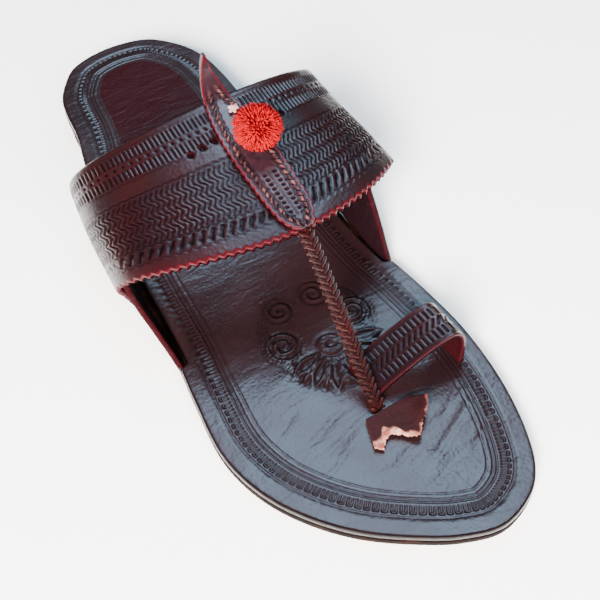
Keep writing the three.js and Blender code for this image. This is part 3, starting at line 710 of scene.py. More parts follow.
@dataclass
class Sole:
    """Outsole, stacked heel and tooled insole."""

    last: Last
    shell: Shell
    count: int = 640
    stamps: int = 210
    steps_per_stamp: int = 6
    notch: float = 2.85
    ear_front_y: float = -31.0
    ear_rear_y: float = 60.0
    border: float = 15.5
    groove_depth: float = 0.42

    def ring(self, inset: Array, height: Callable[[Array], Array], share: float = 0.0, count: int = 0) -> Array:
        """One ring of a slab.

        Args:
            inset: Distance inside the outline.
            height: Height at each place along the sole.
            share: How far the ring has closed on the middle line.
            count: Number of its points, if not the plain layers' count.

        Returns:
            The ring's points.
        """
        count = count or self.count
        plan = self.last.outline(count, inset)
        pair = plan[(-np.arange(count)) % count]
        middle = (plan + pair) / 2 * np.array([1.0, 0.86])
        plan = mix(plan, middle, share)
        return np.column_stack([plan, height(plan[:, 1])])

    def plain_slab(self, name: str, inset: float, low: Callable[[Array], Array], high: Callable[[Array], Array],
                   rounding: float, cut_y: float | None = None) -> bpy.types.Object:
        """A plain layer with rounded rims.

        Args:
            name: The object's name.
            inset: Distance of its side inside the outline.
            low: Height of its underside.
            high: Height of its top.
            rounding: Radius of its rims.
            cut_y: Where its toe side is cut off, if it is.

        Returns:
            The object.
        """
        rings = [self.ring(inset + rounding, low, share) for share in (1.0, 0.7, 0.35, 0.0)]
        for turn in (30, 60, 90):
            angle = math.radians(turn)
            rings.append(self.ring(
                inset + rounding * (1 - math.sin(angle)), lambda y, a=angle: low(y) + rounding * (1 - math.cos(a))
            ))
        for turn in (90, 60, 30, 0):
            angle = math.radians(turn)
            rings.append(self.ring(
                inset + rounding * (1 - math.sin(angle)), lambda y, a=angle: high(y) - rounding * (1 - math.cos(a))
            ))
        rings += [self.ring(inset + rounding, high, share) for share in (0.35, 0.7, 1.0)]
        return self.shell.slab(name, rings, cut_y=cut_y)

    def edge_inset(self, count: int) -> Array:
        """How far the insole's edge steps in to make room for the ears."""
        y = self.last.outline(count, 0.0)[:, 1]
        into = smooth((y - self.ear_front_y + 1.0) / 2.0) * smooth((self.ear_rear_y + 1.0 - y) / 2.0)
        return self.notch * into

    def tooling(self, inset: Array, travel: Array) -> Array:
        """Depth of the border's tooling at places of the insole's face.

        Args:
            inset: Their distance inside the outline.
            travel: Their distance along the outline.

        Returns:
            Depths from 0 to 1.
        """
        relief = Relief(travel, inset, softness=0.16)
        pitch = self.last.plan.length / self.stamps
        step = pitch / self.steps_per_stamp
        relief.line(6.4, 0.45, 0.6)
        relief.marks(7.7, 10.5, pitch, step)
        relief.along = travel - 3 * step
        relief.marks(7.7, 10.5, pitch, step)
        relief.along = travel - 1.5 * step
        relief.marks(7.5, 8.2, pitch, 3.2 * step)
        relief.line(11.7, 0.5, 0.9)
        relief.line(12.9, 0.45, 0.7)
        relief.line(14.7, 0.4, 0.5)
        return relief.depth

    @staticmethod
    def ornament(x: Array, y: Array) -> tuple[Array, Array]:
        """The raised ornament at plan places.

        Args:
            x: Places across the sole.
            y: Places along the sole.

        Returns:
            How far it is raised and how far the ground beside it is pressed, as shares.
        """
        raised, ground = Relief(x, y, softness=0.5), Relief(x, y, softness=0.8)
        Palmette().press(raised, x, y)
        Palmette(line_width=3.1).press(ground, x, y)
        return raised.depth, np.maximum(ground.depth - raised.depth, 0.0)

    def build(self, finishes: Finishes) -> None:
        """Makes the outsole, the heel lifts and the insole."""
        last = self.last
        outsole = self.plain_slab(
            "outsole_layer", 0.0, last.lift, lambda y: last.lift(y) + last.outsole_wall, 0.7
        )
        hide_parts("outsole")
        dress(outsole, finishes.edge)
        lifts = 3
        height = last.heel_height / lifts
        for i in range(lifts):
            lift = self.plain_slab(
                f"heel_lift_{i + 1}", last.heel_inset + 0.12 * (i % 2),
                lambda y, i=i: 0 * y + i * height + 0.03 * min(i, 1),
                lambda y, i=i: 0 * y + (i + 1) * height - 0.03, 0.4, cut_y=last.breast_y + 1.5,
            )
            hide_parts("heel")
            dress(lift, finishes.heel)
        self.build_insole(finishes)

    def build_insole(self, finishes: Finishes) -> None:
        """Makes the insole with its border, its ornament and its creases."""
        last = self.last
        count = self.stamps * self.steps_per_stamp
        start = self.edge_inset(count)
        rounding = 0.8
        low = lambda y: last.lift(y) + last.outsole_wall + GAP
        rings = [self.ring(start + 0.3, low, share, count) for share in (1.0, 0.5, 0.0)]
        rings.append(self.ring(start, lambda y: low(y) + 0.4, 0.0, count))
        rings.append(self.ring(start, lambda y: last.insole_top(y) - rounding, 0.0, count))
        plain = [np.zeros(count)] * len(rings)
        tones, wears, dyes = [np.ones(count)] * len(rings), list(plain), list(plain)
        travel = np.arange(count) / count * last.plan.length
        tooled_from = 6.0 / self.border
        face = [(inset / self.border, 0.0) for inset in (0.0, 0.12, 0.3, 0.5, 0.8, 1.5, 3.0, 4.6)]
        face += [(inset, 0.0) for inset in np.linspace(tooled_from, 1.0, 26)]
        face += [(1.0, share) for share in np.linspace(0.0, 1.0, 38)[1:]]
        for step, share in face:
            inset = mix(start, self.border, step)
            places = self.ring(inset, last.insole_top, share, count)
            depth = self.tooling(np.full(count, 99.0) if share > 0 else inset, travel)
            distance = inset - start
            roll = rounding - np.sqrt(np.maximum(rounding**2 - np.maximum(rounding - distance, 0.0) ** 2, 0.0))
            places[:, 2] -= roll * (1.0 if share == 0.0 else 0.0) + self.groove_depth * depth
            places[:, 2] += self.creases(places[:, 0], places[:, 1])
            raised, ground = self.ornament(places[:, 0], places[:, 1])
            places[:, 2] += 0.75 * raised - 0.5 * ground
            rings.append(places)
            rim = smooth(1.0 - distance / 0.9) * (share == 0.0)
            tones.append(np.maximum(np.maximum(0.7 * depth, 0.6 * ground), rim))
            dyes.append(smooth((places[:, 1] - 34.0) / 12.0) * (share > 0.0))
            wears.append(0.5 * smooth(1.0 - np.abs(distance - 2.0) / 2.0) * (share == 0.0))
        insole = self.shell.slab("tooled_insole", rings, {"tone": tones, "wear_and_sheen": wears, "dye": dyes})
        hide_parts("insole")
        dress(insole, finishes.insole)

    @staticmethod
    def creases(x: Array, y: Array) -> Array:
        """Soft troughs and ridges where the forefoot bends.

        Args:
            x: Places across the sole.
            y: Places along the sole.

        Returns:
            Heights to add.
        """
        height = np.zeros_like(x)
        # Middle X and Y, half length, lean, width and height of each crease.
        folds = (
            (-24, -78, 11, 0.15, 1.6, -0.22), (-20, -84, 14, 0.1, 1.3, 0.16), (-26, -90, 9, 0.25, 1.2, -0.16),
            (10, -100, 13, 0.35, 1.5, -0.28), (4, -104, 9, 0.3, 1.2, 0.18), (16, -106, 8, 0.45, 1.2, -0.18),
            (-10, -100, 8, 0.1, 1.2, -0.14), (-34, -70, 6, 0.2, 1.3, -0.16), (14, -92, 7, 0.3, 1.1, -0.2),
            (-2, -111, 10, 0.12, 1.4, -0.12),
        )
        for middle_x, middle_y, half, lean, width, rise in folds:
            along = (x - middle_x) / half
            beside = (y - middle_y - lean * (x - middle_x) - 1.2 * np.sin(2.1 * along)) / width
            height += rise * np.exp(-beside * beside) * np.exp(-(along**4))
        return height


@dataclass(frozen=True)
class Palmette:
    """A plain lotus fan between scrolls, a common ornament of tooled leather."""

    middle_x: float = -5.0
    base_y: float = -51.0
    petals: int = 7
    petal_length: float = 21.0
    scroll_radius: float = 7.0
    line_width: float = 1.35

    def spiral(self, x: float, y: float, radius: float, turns: float, start: float, hand: int) -> Array:
        """Points of a scroll that winds in to its eye."""
        share = np.linspace(0.0, 1.0, 60)
        angle = start + hand * share * turns * 2 * math.pi
        reach = radius * (1 - 0.86 * share)
        return np.column_stack([x + reach * np.cos(angle), y + reach * np.sin(angle)])

    def press(self, relief: Relief, x: Array, y: Array) -> None:
        """Presses the ornament into a surface at its plan places."""
        spread = math.radians(150)
        for i in range(self.petals):
            angle = -math.pi / 2 + spread * (i / (self.petals - 1) - 0.5)
            length = self.petal_length * (1.0 - 0.25 * abs(i / (self.petals - 1) - 0.5))
            share = np.linspace(0.3, 1.0, 18)
            for bend in (-1, 1):
                swell = bend * 2.0 * np.sin(math.pi * (share - 0.3) / 0.7)
                points = np.column_stack([
                    self.middle_x + length * share * math.cos(angle) - swell * math.sin(angle),
                    self.base_y + length * share * math.sin(angle) + swell * math.cos(angle),
                ])
                relief.stroke(x, y, points, self.line_width)
        for i in range(self.petals - 1):
            angle = -math.pi / 2 + spread * ((i + 0.5) / (self.petals - 1) - 0.5)
            share = np.linspace(0.62, 0.86, 8)
            points = np.column_stack([
                self.middle_x + self.petal_length * share * math.cos(angle),
                self.base_y + self.petal_length * share * math.sin(angle),
            ])
            relief.stroke(x, y, points, self.line_width * 1.3)
        turn = np.linspace(0.0, 2 * math.pi, 40)
        for radius in (2.2, 3.6):
            points = np.column_stack([self.middle_x + radius * np.cos(turn), self.base_y + radius * np.sin(turn)])
            relief.stroke(x, y, points, self.line_width, 0.8)
        for hand in (-1, 1):
            centre_x = self.middle_x + hand * 14.0
            start = math.pi if hand > 0 else 0.0
            outer = self.spiral(centre_x, self.base_y + 8.0, self.scroll_radius, 2.2, start, hand)
            relief.stroke(x, y, outer, self.line_width + 0.2)
            upper = self.spiral(
                self.middle_x + hand * 7.0, self.base_y + 22.0, self.scroll_radius * 0.8, 1.8, start, -hand
            )
            relief.stroke(x, y, upper, self.line_width)
            share = np.linspace(0.0, 1.0, 30)
            for offset in (0.0, 2.0):
                stem = np.column_stack([
                    centre_x + hand * (3.0 + offset) * np.sin(math.pi * share),
                    self.base_y - 4.0 - offset + (26.0 + 2 * offset) * share,
                ])
                relief.stroke(x, y, stem, self.line_width * 0.8, 0.7)


@dataclass
class Band:
    """The wide instep band: one stamped wall with a pinked, red-dyed front edge."""

    last: Last
    shell: Shell
    columns: int = 420
    rows: int = 104
    depth: float = 58.0
    tooth_pitch: float = 2.9
    tooth_depth: float = 1.1
    groove_depth: float = 0.38
    punch_radius: float = 1.15
    punch_pitch: float = 4.6
    punch_y: float = 10.0
    leaf_width: float = 15.0

    def stamp(self, along: Array, across: Array, height: Array) -> Array:
        """Depth of the stamped rows.

        Args:
            along: Distance round the band from its ridge.
            across: Distance from its rear edge.
            height: Height over the floor, where the rows fade out.

        Returns:
            Depths from 0 to 1.
        """
        relief = Relief(along, across)
        relief.line(2.6, 0.5, 0.5)
        relief.marks(3.6, 7.8, 1.6, 0.7)
        relief.dots(9.6, 3.0, 0.6)
        relief.marks(11.3, 15.6, 1.6, 0.7)
        relief.line(16.9, 0.5, 0.6)
        relief.line(23.4, 0.6, 0.8)
        row_height = 3.0
        for i in range(7):
            start = 24.3 + i * row_height
            relief.marks(start + 0.3, start + row_height - 0.15, 1.8, 0.72, slope=0.8 * (-1) ** i)
            relief.line(start + row_height, 0.35, 0.35)
        relief.line(45.6, 0.6, 0.85)
        middle = smooth((52.0 - np.abs(along + 8.0)) / 10.0)
        relief.marks(46.7, 51.3, 3.2, 1.3, slope=0.6, within=middle)
        relief.marks(47.4, 50.4, 3.0, 0.8, slope=-0.4, within=1.0 - middle, strength=0.8)
        relief.line(52.4, 0.5, 0.5)
        fade = smooth((height - 7.0) / 9.0)
        return relief.depth * fade

    def build(self, finishes: Finishes) -> None:
        """Makes the band."""
        last = self.last
        around = np.linspace(0.0, 1.0, self.columns + 1)[:, None]
        share = np.linspace(0.0, 1.0, self.rows + 1)[None, :]
        middle_y = (last.rear_y(around) + last.front_y(around)) / 2
        path = last.upper(middle_y, around)[:, 0]
        steps = np.linalg.norm(np.diff(path[:, [0, 2]], axis=0), axis=1)
        travel = np.concatenate([[0.0], np.cumsum(steps)])
        along = (travel - np.interp(last.ridge_around, around[:, 0], travel))[:, None]
        tooth = np.abs(along / self.tooth_pitch - np.round(along / self.tooth_pitch)) * 2
        front = last.front_y(around) + tooth * self.tooth_depth
        y = mix(last.rear_y(around), front, share)
        across = np.broadcast_to(share * self.depth, y.shape)
        along = np.broadcast_to(along, y.shape)
        place = last.upper(y, around)
        tone = self.stamp(along, across, place[..., 2])
        holes = self.punches(place)
        wave = 0.25 * np.sin(along / 9.0) * smooth((across - 40) / 15)
        roll = 0.6 * (smooth((1.2 - across) / 1.2) + smooth((across - self.depth + 0.8) / 0.8))
        out = last.band_wall / 2 - self.groove_depth * tone - 0.9 * holes - roll * 0.5
        face = last.upper(y, around, out)
        face[..., 2] += wave
        back = last.upper(y, around, -last.band_wall / 2)
        back[..., 2] += wave
        rim = smooth((across - self.depth + 0.9) / 0.7)
        # The punch marks take the dark groove colour through the tone field as painted shade of a hole's depth, and
        # crimson dye.
        dye = np.clip(0.95 * rim + 0.7 * holes + 0.2 * smooth((across - 50.0) / 8.0) * smooth(-along / 40.0), 0.0, 1.0)
        side = smooth((np.abs(along) - 45.0) / 30.0)
        wear_and_sheen = np.clip(0.35 * side + 0.3 * rim, 0.0, 1.0)
        band = self.shell.wall(
            "instep_band", face, back, {"tone": np.maximum(tone, holes), "dye": dye, "wear_and_sheen": wear_and_sheen}
        )
        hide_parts("upper")
        dress(band, finishes.band)

    def punches(self, place: Array) -> Array:
        """Shares of the punched holes at points of the band, beside the leaf."""
        share = np.zeros(place.shape[:-1])
        for side in (-1, 1):
            for k in range(3):
                offset = side * (self.leaf_width / 2 + (k + 0.2) * self.punch_pitch)
                around = self.last.around_at(np.array(self.punch_y), np.array(offset))
                centre = self.last.upper(self.punch_y, around)
                gap = np.linalg.norm(place - centre, axis=-1)
                share = np.maximum(share, smooth((self.punch_radius + 0.2 - gap) / 0.5))
        return share


@dataclass
class Ear:
    """A side flap that stands on the outsole's rim inside the band."""

    last: Last
    shell: Shell
    side: Side
    wall: float = 2.0
    clearance: float = 0.45
    height: float = 26.0
    front_y: float = -30.0
    front_slope: float = 0.62
    rear_margin: float = 3.0

    def build(self, finishes: Finishes) -> None:
        """Makes the flap, its foot level and its top following the band."""
        last = self.last
        columns, rows = 110, 28
        foot = lambda y: last.lift(y) + last.outsole_wall + GAP
        rear_foot = last.band_rear_foot_y - self.rear_margin
        rise = (last.band_rear_top - last.band_foot_height) / (last.band_rear_foot_y - last.band_rear_top_y)

        def top(y: Array) -> Array:
            slope = foot(y) + 0.6 + (y - self.front_y) * self.front_slope
            return np.minimum(np.minimum(slope, self.height), last.band_foot_height + (rear_foot - y) * rise)

        tries = np.linspace(0.0, rear_foot, 4001)
        last_y = float(tries[np.argmax(foot(tries) + 1 > top(tries))])
        y = np.linspace(self.front_y, last_y, columns + 1)[:, None]
        z = mix(foot(y), top(y), np.linspace(0.0, 1.0, rows + 1)[None, :])
        y = np.broadcast_to(y, z.shape)
        low, high = np.zeros(z.shape), np.full(z.shape, 0.3)
        for _ in range(26):
            middle = (low + high) / 2
            share = middle if self.side is Side.OUTER else 1 - middle
            short = last.upper(y, share)[..., 2] < z
            low, high = np.where(short, middle, low), np.where(short, high, middle)
        share = middle if self.side is Side.OUTER else 1 - middle
        inside = last.band_wall / 2 + self.clearance
        face = last.upper(y, share, -inside)
        back = last.upper(y, share, -inside - self.wall)
        face[..., 2] = z
        back[..., 2] = z
        rim = np.broadcast_to(smooth((np.linspace(0, 1, rows + 1)[None, :] - 0.93) / 0.07), z.shape)
        ear = self.shell.wall(f"{self.side.name.lower()}_ear", back, face, {"wear_and_sheen": rim * 0.3, "dye": rim * 0.5})
        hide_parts(f"ear_{self.side.name.lower()}")
        dress(ear, finishes.ear)


@dataclass
class Leaf:
    """The pointed leaf over the band, with its laced, scalloped edge and its curled tip."""

    last: Last
    shell: Shell
    wall: float = 1.8
    width: float = 15.0
    front_y: float = -33.5
    bend_y: float = 19.0
    curl_radius: float = 12.5
    curl_turn: float = math.radians(93)
    scallop_pitch: float = 3.0
    scallop_depth: float = 0.5
    form: Table = Table((
        (0, 0.06), (0.05, 0.17), (0.12, 0.34), (0.2, 0.56), (0.27, 0.72), (0.36, 0.88), (0.48, 0.98),
        (0.64, 1), (0.82, 0.94), (0.92, 0.82), (0.98, 0.55), (1, 0.3),
    ))

    def __post_init__(self) -> None:
        """Works out the leaf's lengths."""
        last = self.last
        self.out = last.band_wall / 2 + GAP + self.wall / 2
        self.curl_length = self.curl_radius * self.curl_turn
        rise = float(last.ridge_height(self.bend_y) - last.ridge_height(self.front_y))
        self.flat_length = math.hypot(self.bend_y - self.front_y, rise)
        self.length = self.curl_length + self.flat_length

    def point(self, along: Array, offset: Array, out: Array) -> Array:
        """Points of the leaf.

        Args:
            along: Shares of its length from the tip.
            offset: Distance from its middle line.
            out: Distance out of the middle of its wall.

        Returns:
            The points.
        """
        last = self.last
        along, offset, out = np.broadcast_arrays(along, offset, out)
        travel = along * self.length
        flat_share = np.clip((travel - self.curl_length) / self.flat_length, 0.0, 1.0)
        y = mix(self.bend_y, self.front_y, flat_share)
        flat = last.upper(y, last.around_at(y, offset), self.out + out)
        start = last.upper(self.bend_y, last.ridge_around, self.out)
        behind = last.upper(self.bend_y + 1, last.ridge_around, self.out) - start
        back = behind / np.linalg.norm(behind)
        up = np.array([0.0, -back[2], back[1]])
        turn = np.clip((self.curl_length - travel) / self.curl_radius, 0.0, None)
        bend = np.full(along.shape, self.bend_y)
        droop = last.upper(bend, last.around_at(bend, offset), self.out)[..., 2] - start[2]
        level = out + droop * (1 - turn / self.curl_turn)
        ahead = self.curl_radius * np.sin(turn) - level * np.sin(turn)
        rise = self.curl_radius * (1 - np.cos(turn)) + level * np.cos(turn)
        curl = start + ahead[..., None] * back + rise[..., None] * up + offset[..., None] * np.array([1.0, 0, 0])
        return np.where((travel >= self.curl_length)[..., None], flat, curl)

    def build(self, finishes: Finishes) -> None:
        """Makes the leaf with its lacing and its ladder of small slots."""
        columns, rows = 230, 48
        along = np.linspace(0.0, 1.0, columns + 1)[:, None]
        across = np.linspace(-1.0, 1.0, rows + 1)[None, :]
        scallop = np.abs(np.sin(math.pi * along * self.length / self.scallop_pitch))
        half = self.width / 2 * self.form.at(along) - self.scallop_depth * (1 - scallop) * (along > 0.2)
        offset = half * across
        edge = half - np.abs(offset)
        travel = np.broadcast_to(along * self.length, offset.shape)
        relief = Relief(travel, edge)
        body = smooth((along - 0.16) / 0.05)
        relief.line(1.3, 0.4, 0.6)
        relief.marks(1.6, 3.2, 2.3, 0.75, slope=0.9, within=body)
        relief.line(3.5, 0.4, 0.6)
        ladder = Relief(travel, offset)
        within = smooth((travel - 50.0) / 1.5) * smooth((71.0 - travel) / 1.5)
        for middle in (-1.7, 1.7):
            ladder.marks(middle - 0.55, middle + 0.55, 2.0, 0.8, within=within)
        ladder.line(0.0, 0.5, 0.4)
        pressed = np.maximum(relief.depth * np.broadcast_to(body, offset.shape), ladder.depth * within)
        # The lacing beads take the leaf's pale tint as a painted highlight, and a faint strip along the leaf's middle
        # takes it as a painted sheen.
        rope = smooth(1 - np.abs(edge - 2.4) / 0.9) * np.broadcast_to(body, offset.shape) * (1 - pressed)
        middle_sheen = 0.5 * (1 - (offset / np.maximum(half, 0.1)) ** 2) * smooth((along - 0.9) / -0.2)
        out = self.wall / 2 - 0.45 * pressed + 0.4 * rope
        face = self.point(along, offset, out)
        back = self.point(along, offset, -self.wall / 2 + 0.0 * out)
        rim = smooth((0.9 - edge) / 0.7)
        fields = {"tone": pressed, "dye": rim * 0.95, "wear_and_sheen": np.clip(rope * 1.2 + 0.15 * middle_sheen, 0, 1)}
        leaf = self.shell.wall("laced_leaf", face, back, fields)
        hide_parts("leaf")
        dress(leaf, finishes.leaf)

    def seat(self, y: float, offset: float) -> Matrix:
        """The place and lie of what sits on the leaf, with its Z out of the leaf's face."""
        along = (self.curl_length + (self.bend_y - y) / (self.bend_y - self.front_y) * self.flat_length) / self.length
        here = self.point(np.array(along), np.array(offset), np.array(self.wall / 2))
        ahead = self.point(np.array(along + 0.02), np.array(offset), np.array(self.wall / 2))
        run = (ahead - here) / np.linalg.norm(ahead - here)
        up = Vector((0.0, float(run[2]), -float(run[1])))
        turn = Vector((0, 0, 1)).rotation_difference(up).to_matrix().to_4x4()
        return Matrix.Translation(Vector((here + self.last.shift) * MM)) @ turn


@dataclass
class Pompom:
    """A cut wool pompom: strands round a small core."""

    last: Last
    shell: Shell
    leaf: Leaf
    diameter: float = 17.0
    squash: float = 0.84
    x: float = 2.6
    y: float = 1.0
    strands: int = 1500
    strand_width: float = 0.62

    def build(self, finishes: Finishes) -> None:
        """Makes the core and its strands in one piece."""
        radius = self.diameter / 2
        seat = self.leaf.seat(self.y, self.x)
        centre = seat @ Matrix.Translation((0, 0, (radius * self.squash + GAP) * MM))
        work = bmesh.new()
        # The tone attribute paints shade: the core, the tie and the strands' roots are set low, so they take the
        # wool's darker red, and only the strands' outer ends take the bright red.
        tip = work.verts.layers.float.new("tone")
        core = bmesh.ops.create_icosphere(work, subdivisions=3, radius=radius * 0.72 * MM)["verts"]
        for corner in core:
            corner.co.z *= self.squash
            corner[tip] = 0.25
        tie_depth = radius * self.squash * 0.5 + GAP * 0.8
        tie_middle = Matrix.Translation((0, 0, -(radius * self.squash + GAP * 0.8 - tie_depth / 2) * MM))
        tie = bmesh.ops.create_cone(
            work, cap_ends=True, segments=20, radius1=2.1 * MM, radius2=3.4 * MM, depth=tie_depth * MM, matrix=tie_middle,
        )["verts"]
        for corner in tie:
            corner[tip] = 0.3
        chance = np.random.default_rng(SEED)
        golden = math.pi * (3 - math.sqrt(5))
        for i in range(self.strands):
            height = 1 - 2 * (i + 0.5) / self.strands
            flat = math.sqrt(1 - height * height)
            angle = golden * i
            aim = Vector((flat * math.cos(angle), flat * math.sin(angle), height))
            aim += Vector(chance.normal(0.0, 0.14, 3))
            aim.normalize()
            reach = radius * float(chance.uniform(0.86, 1.03))
            start = radius * 0.55
            length = (reach - start) * MM
            lie = aim.to_track_quat("Z", "Y").to_matrix().to_4x4()
            place = Matrix.Diagonal((1, 1, self.squash, 1)) @ lie @ Matrix.Translation((0, 0, start * MM + length / 2))
            made = bmesh.ops.create_cone(
                work, cap_ends=True, segments=4, radius1=self.strand_width * 0.5 * MM,
                radius2=self.strand_width * 0.34 * MM, depth=length, matrix=place,
            )["verts"]
            for corner in made:
                corner[tip] = 1.0 if corner.co.length > 0.8 * radius * self.squash * MM else 0.2
        bmesh.ops.transform(work, matrix=centre, verts=work.verts)
        pompom = self.shell.finish("wool_pompom", work)
        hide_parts("pompom")
        dress(pompom, finishes.wool)


@dataclass
class Knot:
    """The pale lace knot behind the pompom: a lace turned twice through two slits."""

    last: Last
    shell: Shell
    leaf: Leaf
    x: float = 2.2
    y: float = 15.0
    width: float = 4.6

    def build(self, finishes: Finishes) -> None:
        """Makes two turns of lace that cross over a pad."""
        work = bmesh.new()
        seat = self.leaf.seat(self.y, self.x)
        for turn, height, size in ((0.45, 1.15, 1.0), (-0.5, 1.55, 0.86), (1.5, 0.85, 0.8)):
            lace = bmesh.ops.create_uvsphere(work, u_segments=18, v_segments=10, radius=0.5 * MM)["verts"]
            shape = Matrix.Diagonal((self.width * size, 1.7, 1.5, 1))
            place = Matrix.Translation((0, 0, height * MM)) @ Matrix.Rotation(turn, 4, "Z") @ shape
            bmesh.ops.transform(work, matrix=seat @ place, verts=lace)
        knot = self.shell.finish("rawhide_knot", work)
        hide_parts("lace_knot")
        dress(knot, finishes.knot)


@dataclass
class Thong:
    """The plaited thong, from under the band's front edge to its hole in the insole."""

    last: Last
    shell: Shell
    width: float = 5.6
    thickness: float = 3.6
    pitch: float = 2.3
    hole_x: float = -6.6
    hole_y: float = -80.5

    def route(self) -> Curve:
        """The thong's middle line."""
        last = self.last
        under = last.band_wall / 2 + self.thickness * 0.3
        start = last.upper(last.band_front_top_y + 4.5, last.ridge_around, -under)
        leave = last.upper(last.band_front_top_y - 1, last.ridge_around, -under)
        foot = np.array([self.hole_x, self.hole_y, float(last.insole_top(self.hole_y))])
        run = lambda share, drop: mix(leave, foot, share) + np.array([0, 0, drop])
        return Curve([start, leave, run(0.3, 0.5), run(0.6, 0.5), run(0.88, 0.6), foot + [0, 0, 0.8],
                      foot + [0, -0.4, GAP - last.insole_wall]])

    def build(self, finishes: Finishes) -> None:
        """Makes the strands of the plait, leaning left and right in turn, over a core."""
        route = self.route()
        work = bmesh.new()
        wear_and_sheen = work.verts.layers.float.new("wear_and_sheen")
        tone = work.verts.layers.float.new("tone")
        count = round(route.length / self.pitch)
        wide = Vector((1, 0, 0))
        for i in range(count * 2 + 1):
            share = i / (count * 2)
            centre = Vector((route.at(share) + self.last.shift) * MM)
            along = Vector(route.at(min(share + 0.01, 1.0)) - route.at(max(share - 0.01, 0.0))).normalized()
            thick = along.cross(wide).normalized()
            basis = Matrix((wide, along, thick)).transposed().to_4x4()
            side = 1 if i % 2 else -1
            for face in (-1, 1):
                strand = bmesh.ops.create_uvsphere(work, u_segments=14, v_segments=9, radius=0.5 * MM)["verts"]
                for corner in strand:
                    outer = abs(corner.co.x) / (0.5 * MM)
                    tip = max(0.0, outer - 0.6) / 0.4 if corner.co.x * side > 0 else 0.0
                    corner[wear_and_sheen] = (1.0 if side < 0 else 0.3) * tip + 0.1
                    corner[tone] = 0.0
                shape = Matrix.Diagonal((4.5, 1.75, 1.8, 1))
                lean = Matrix.Rotation(side * face * math.radians(-46), 4, "Z")
                offset = Matrix.Translation((side * 1.05 * MM, 0, face * 0.78 * MM))
                place = Matrix.Translation(centre) @ basis @ offset @ lean @ shape
                bmesh.ops.transform(work, matrix=place, verts=strand)
        self.core(work, route)
        thong = self.shell.finish("plaited_thong", work)
        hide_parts("upper")
        dress(thong, finishes.plait)

    def core(self, work: bmesh.types.BMesh, route: Curve) -> None:
        """Adds the core that the strands lie round."""
        steps, sides = 46, 12
        share = np.linspace(0.0, 1.0, steps + 1)
        centre = route.at(share)
        along = route.at(np.minimum(share + 0.01, 1)) - route.at(np.maximum(share - 0.01, 0))
        along /= np.linalg.norm(along, axis=1)[:, None]
        wide = np.array([1.0, 0, 0])
        thick = np.cross(along, wide)
        thick /= np.linalg.norm(thick, axis=1)[:, None]
        loop = None
        ring = bmesh.ops.create_circle(work, cap_ends=True, segments=sides, radius=1.0)["verts"]
        angles = [math.atan2(corner.co.y, corner.co.x) for corner in ring]
        for i in range(steps + 1):
            if i:
                made = bmesh.ops.extrude_face_region(work, geom=loop)["geom"]
                bmesh.ops.delete(work, geom=loop, context="FACES_ONLY")
                ring = [item for item in made if isinstance(item, bmesh.types.BMVert)]
                ring.sort(key=lambda corner: order[self._key(corner)])
                loop = [item for item in made if isinstance(item, bmesh.types.BMFace)]
            else:
                loop = list({face for corner in ring for face in corner.link_faces})
            for corner, angle in zip(ring, angles):
                spot = centre[i] + wide * 1.9 * math.cos(angle) + thick[i] * 1.2 * math.sin(angle)
                corner.co = (spot + self.last.shift) * MM
            order = {self._key(corner): k for k, corner in enumerate(ring)}

    @staticmethod
    def _key(corner: bmesh.types.BMVert) -> tuple[float, float, float]:
        """A place rounded so that a copied corner finds its source."""
        return tuple(round(value, 7) for value in corner.co)


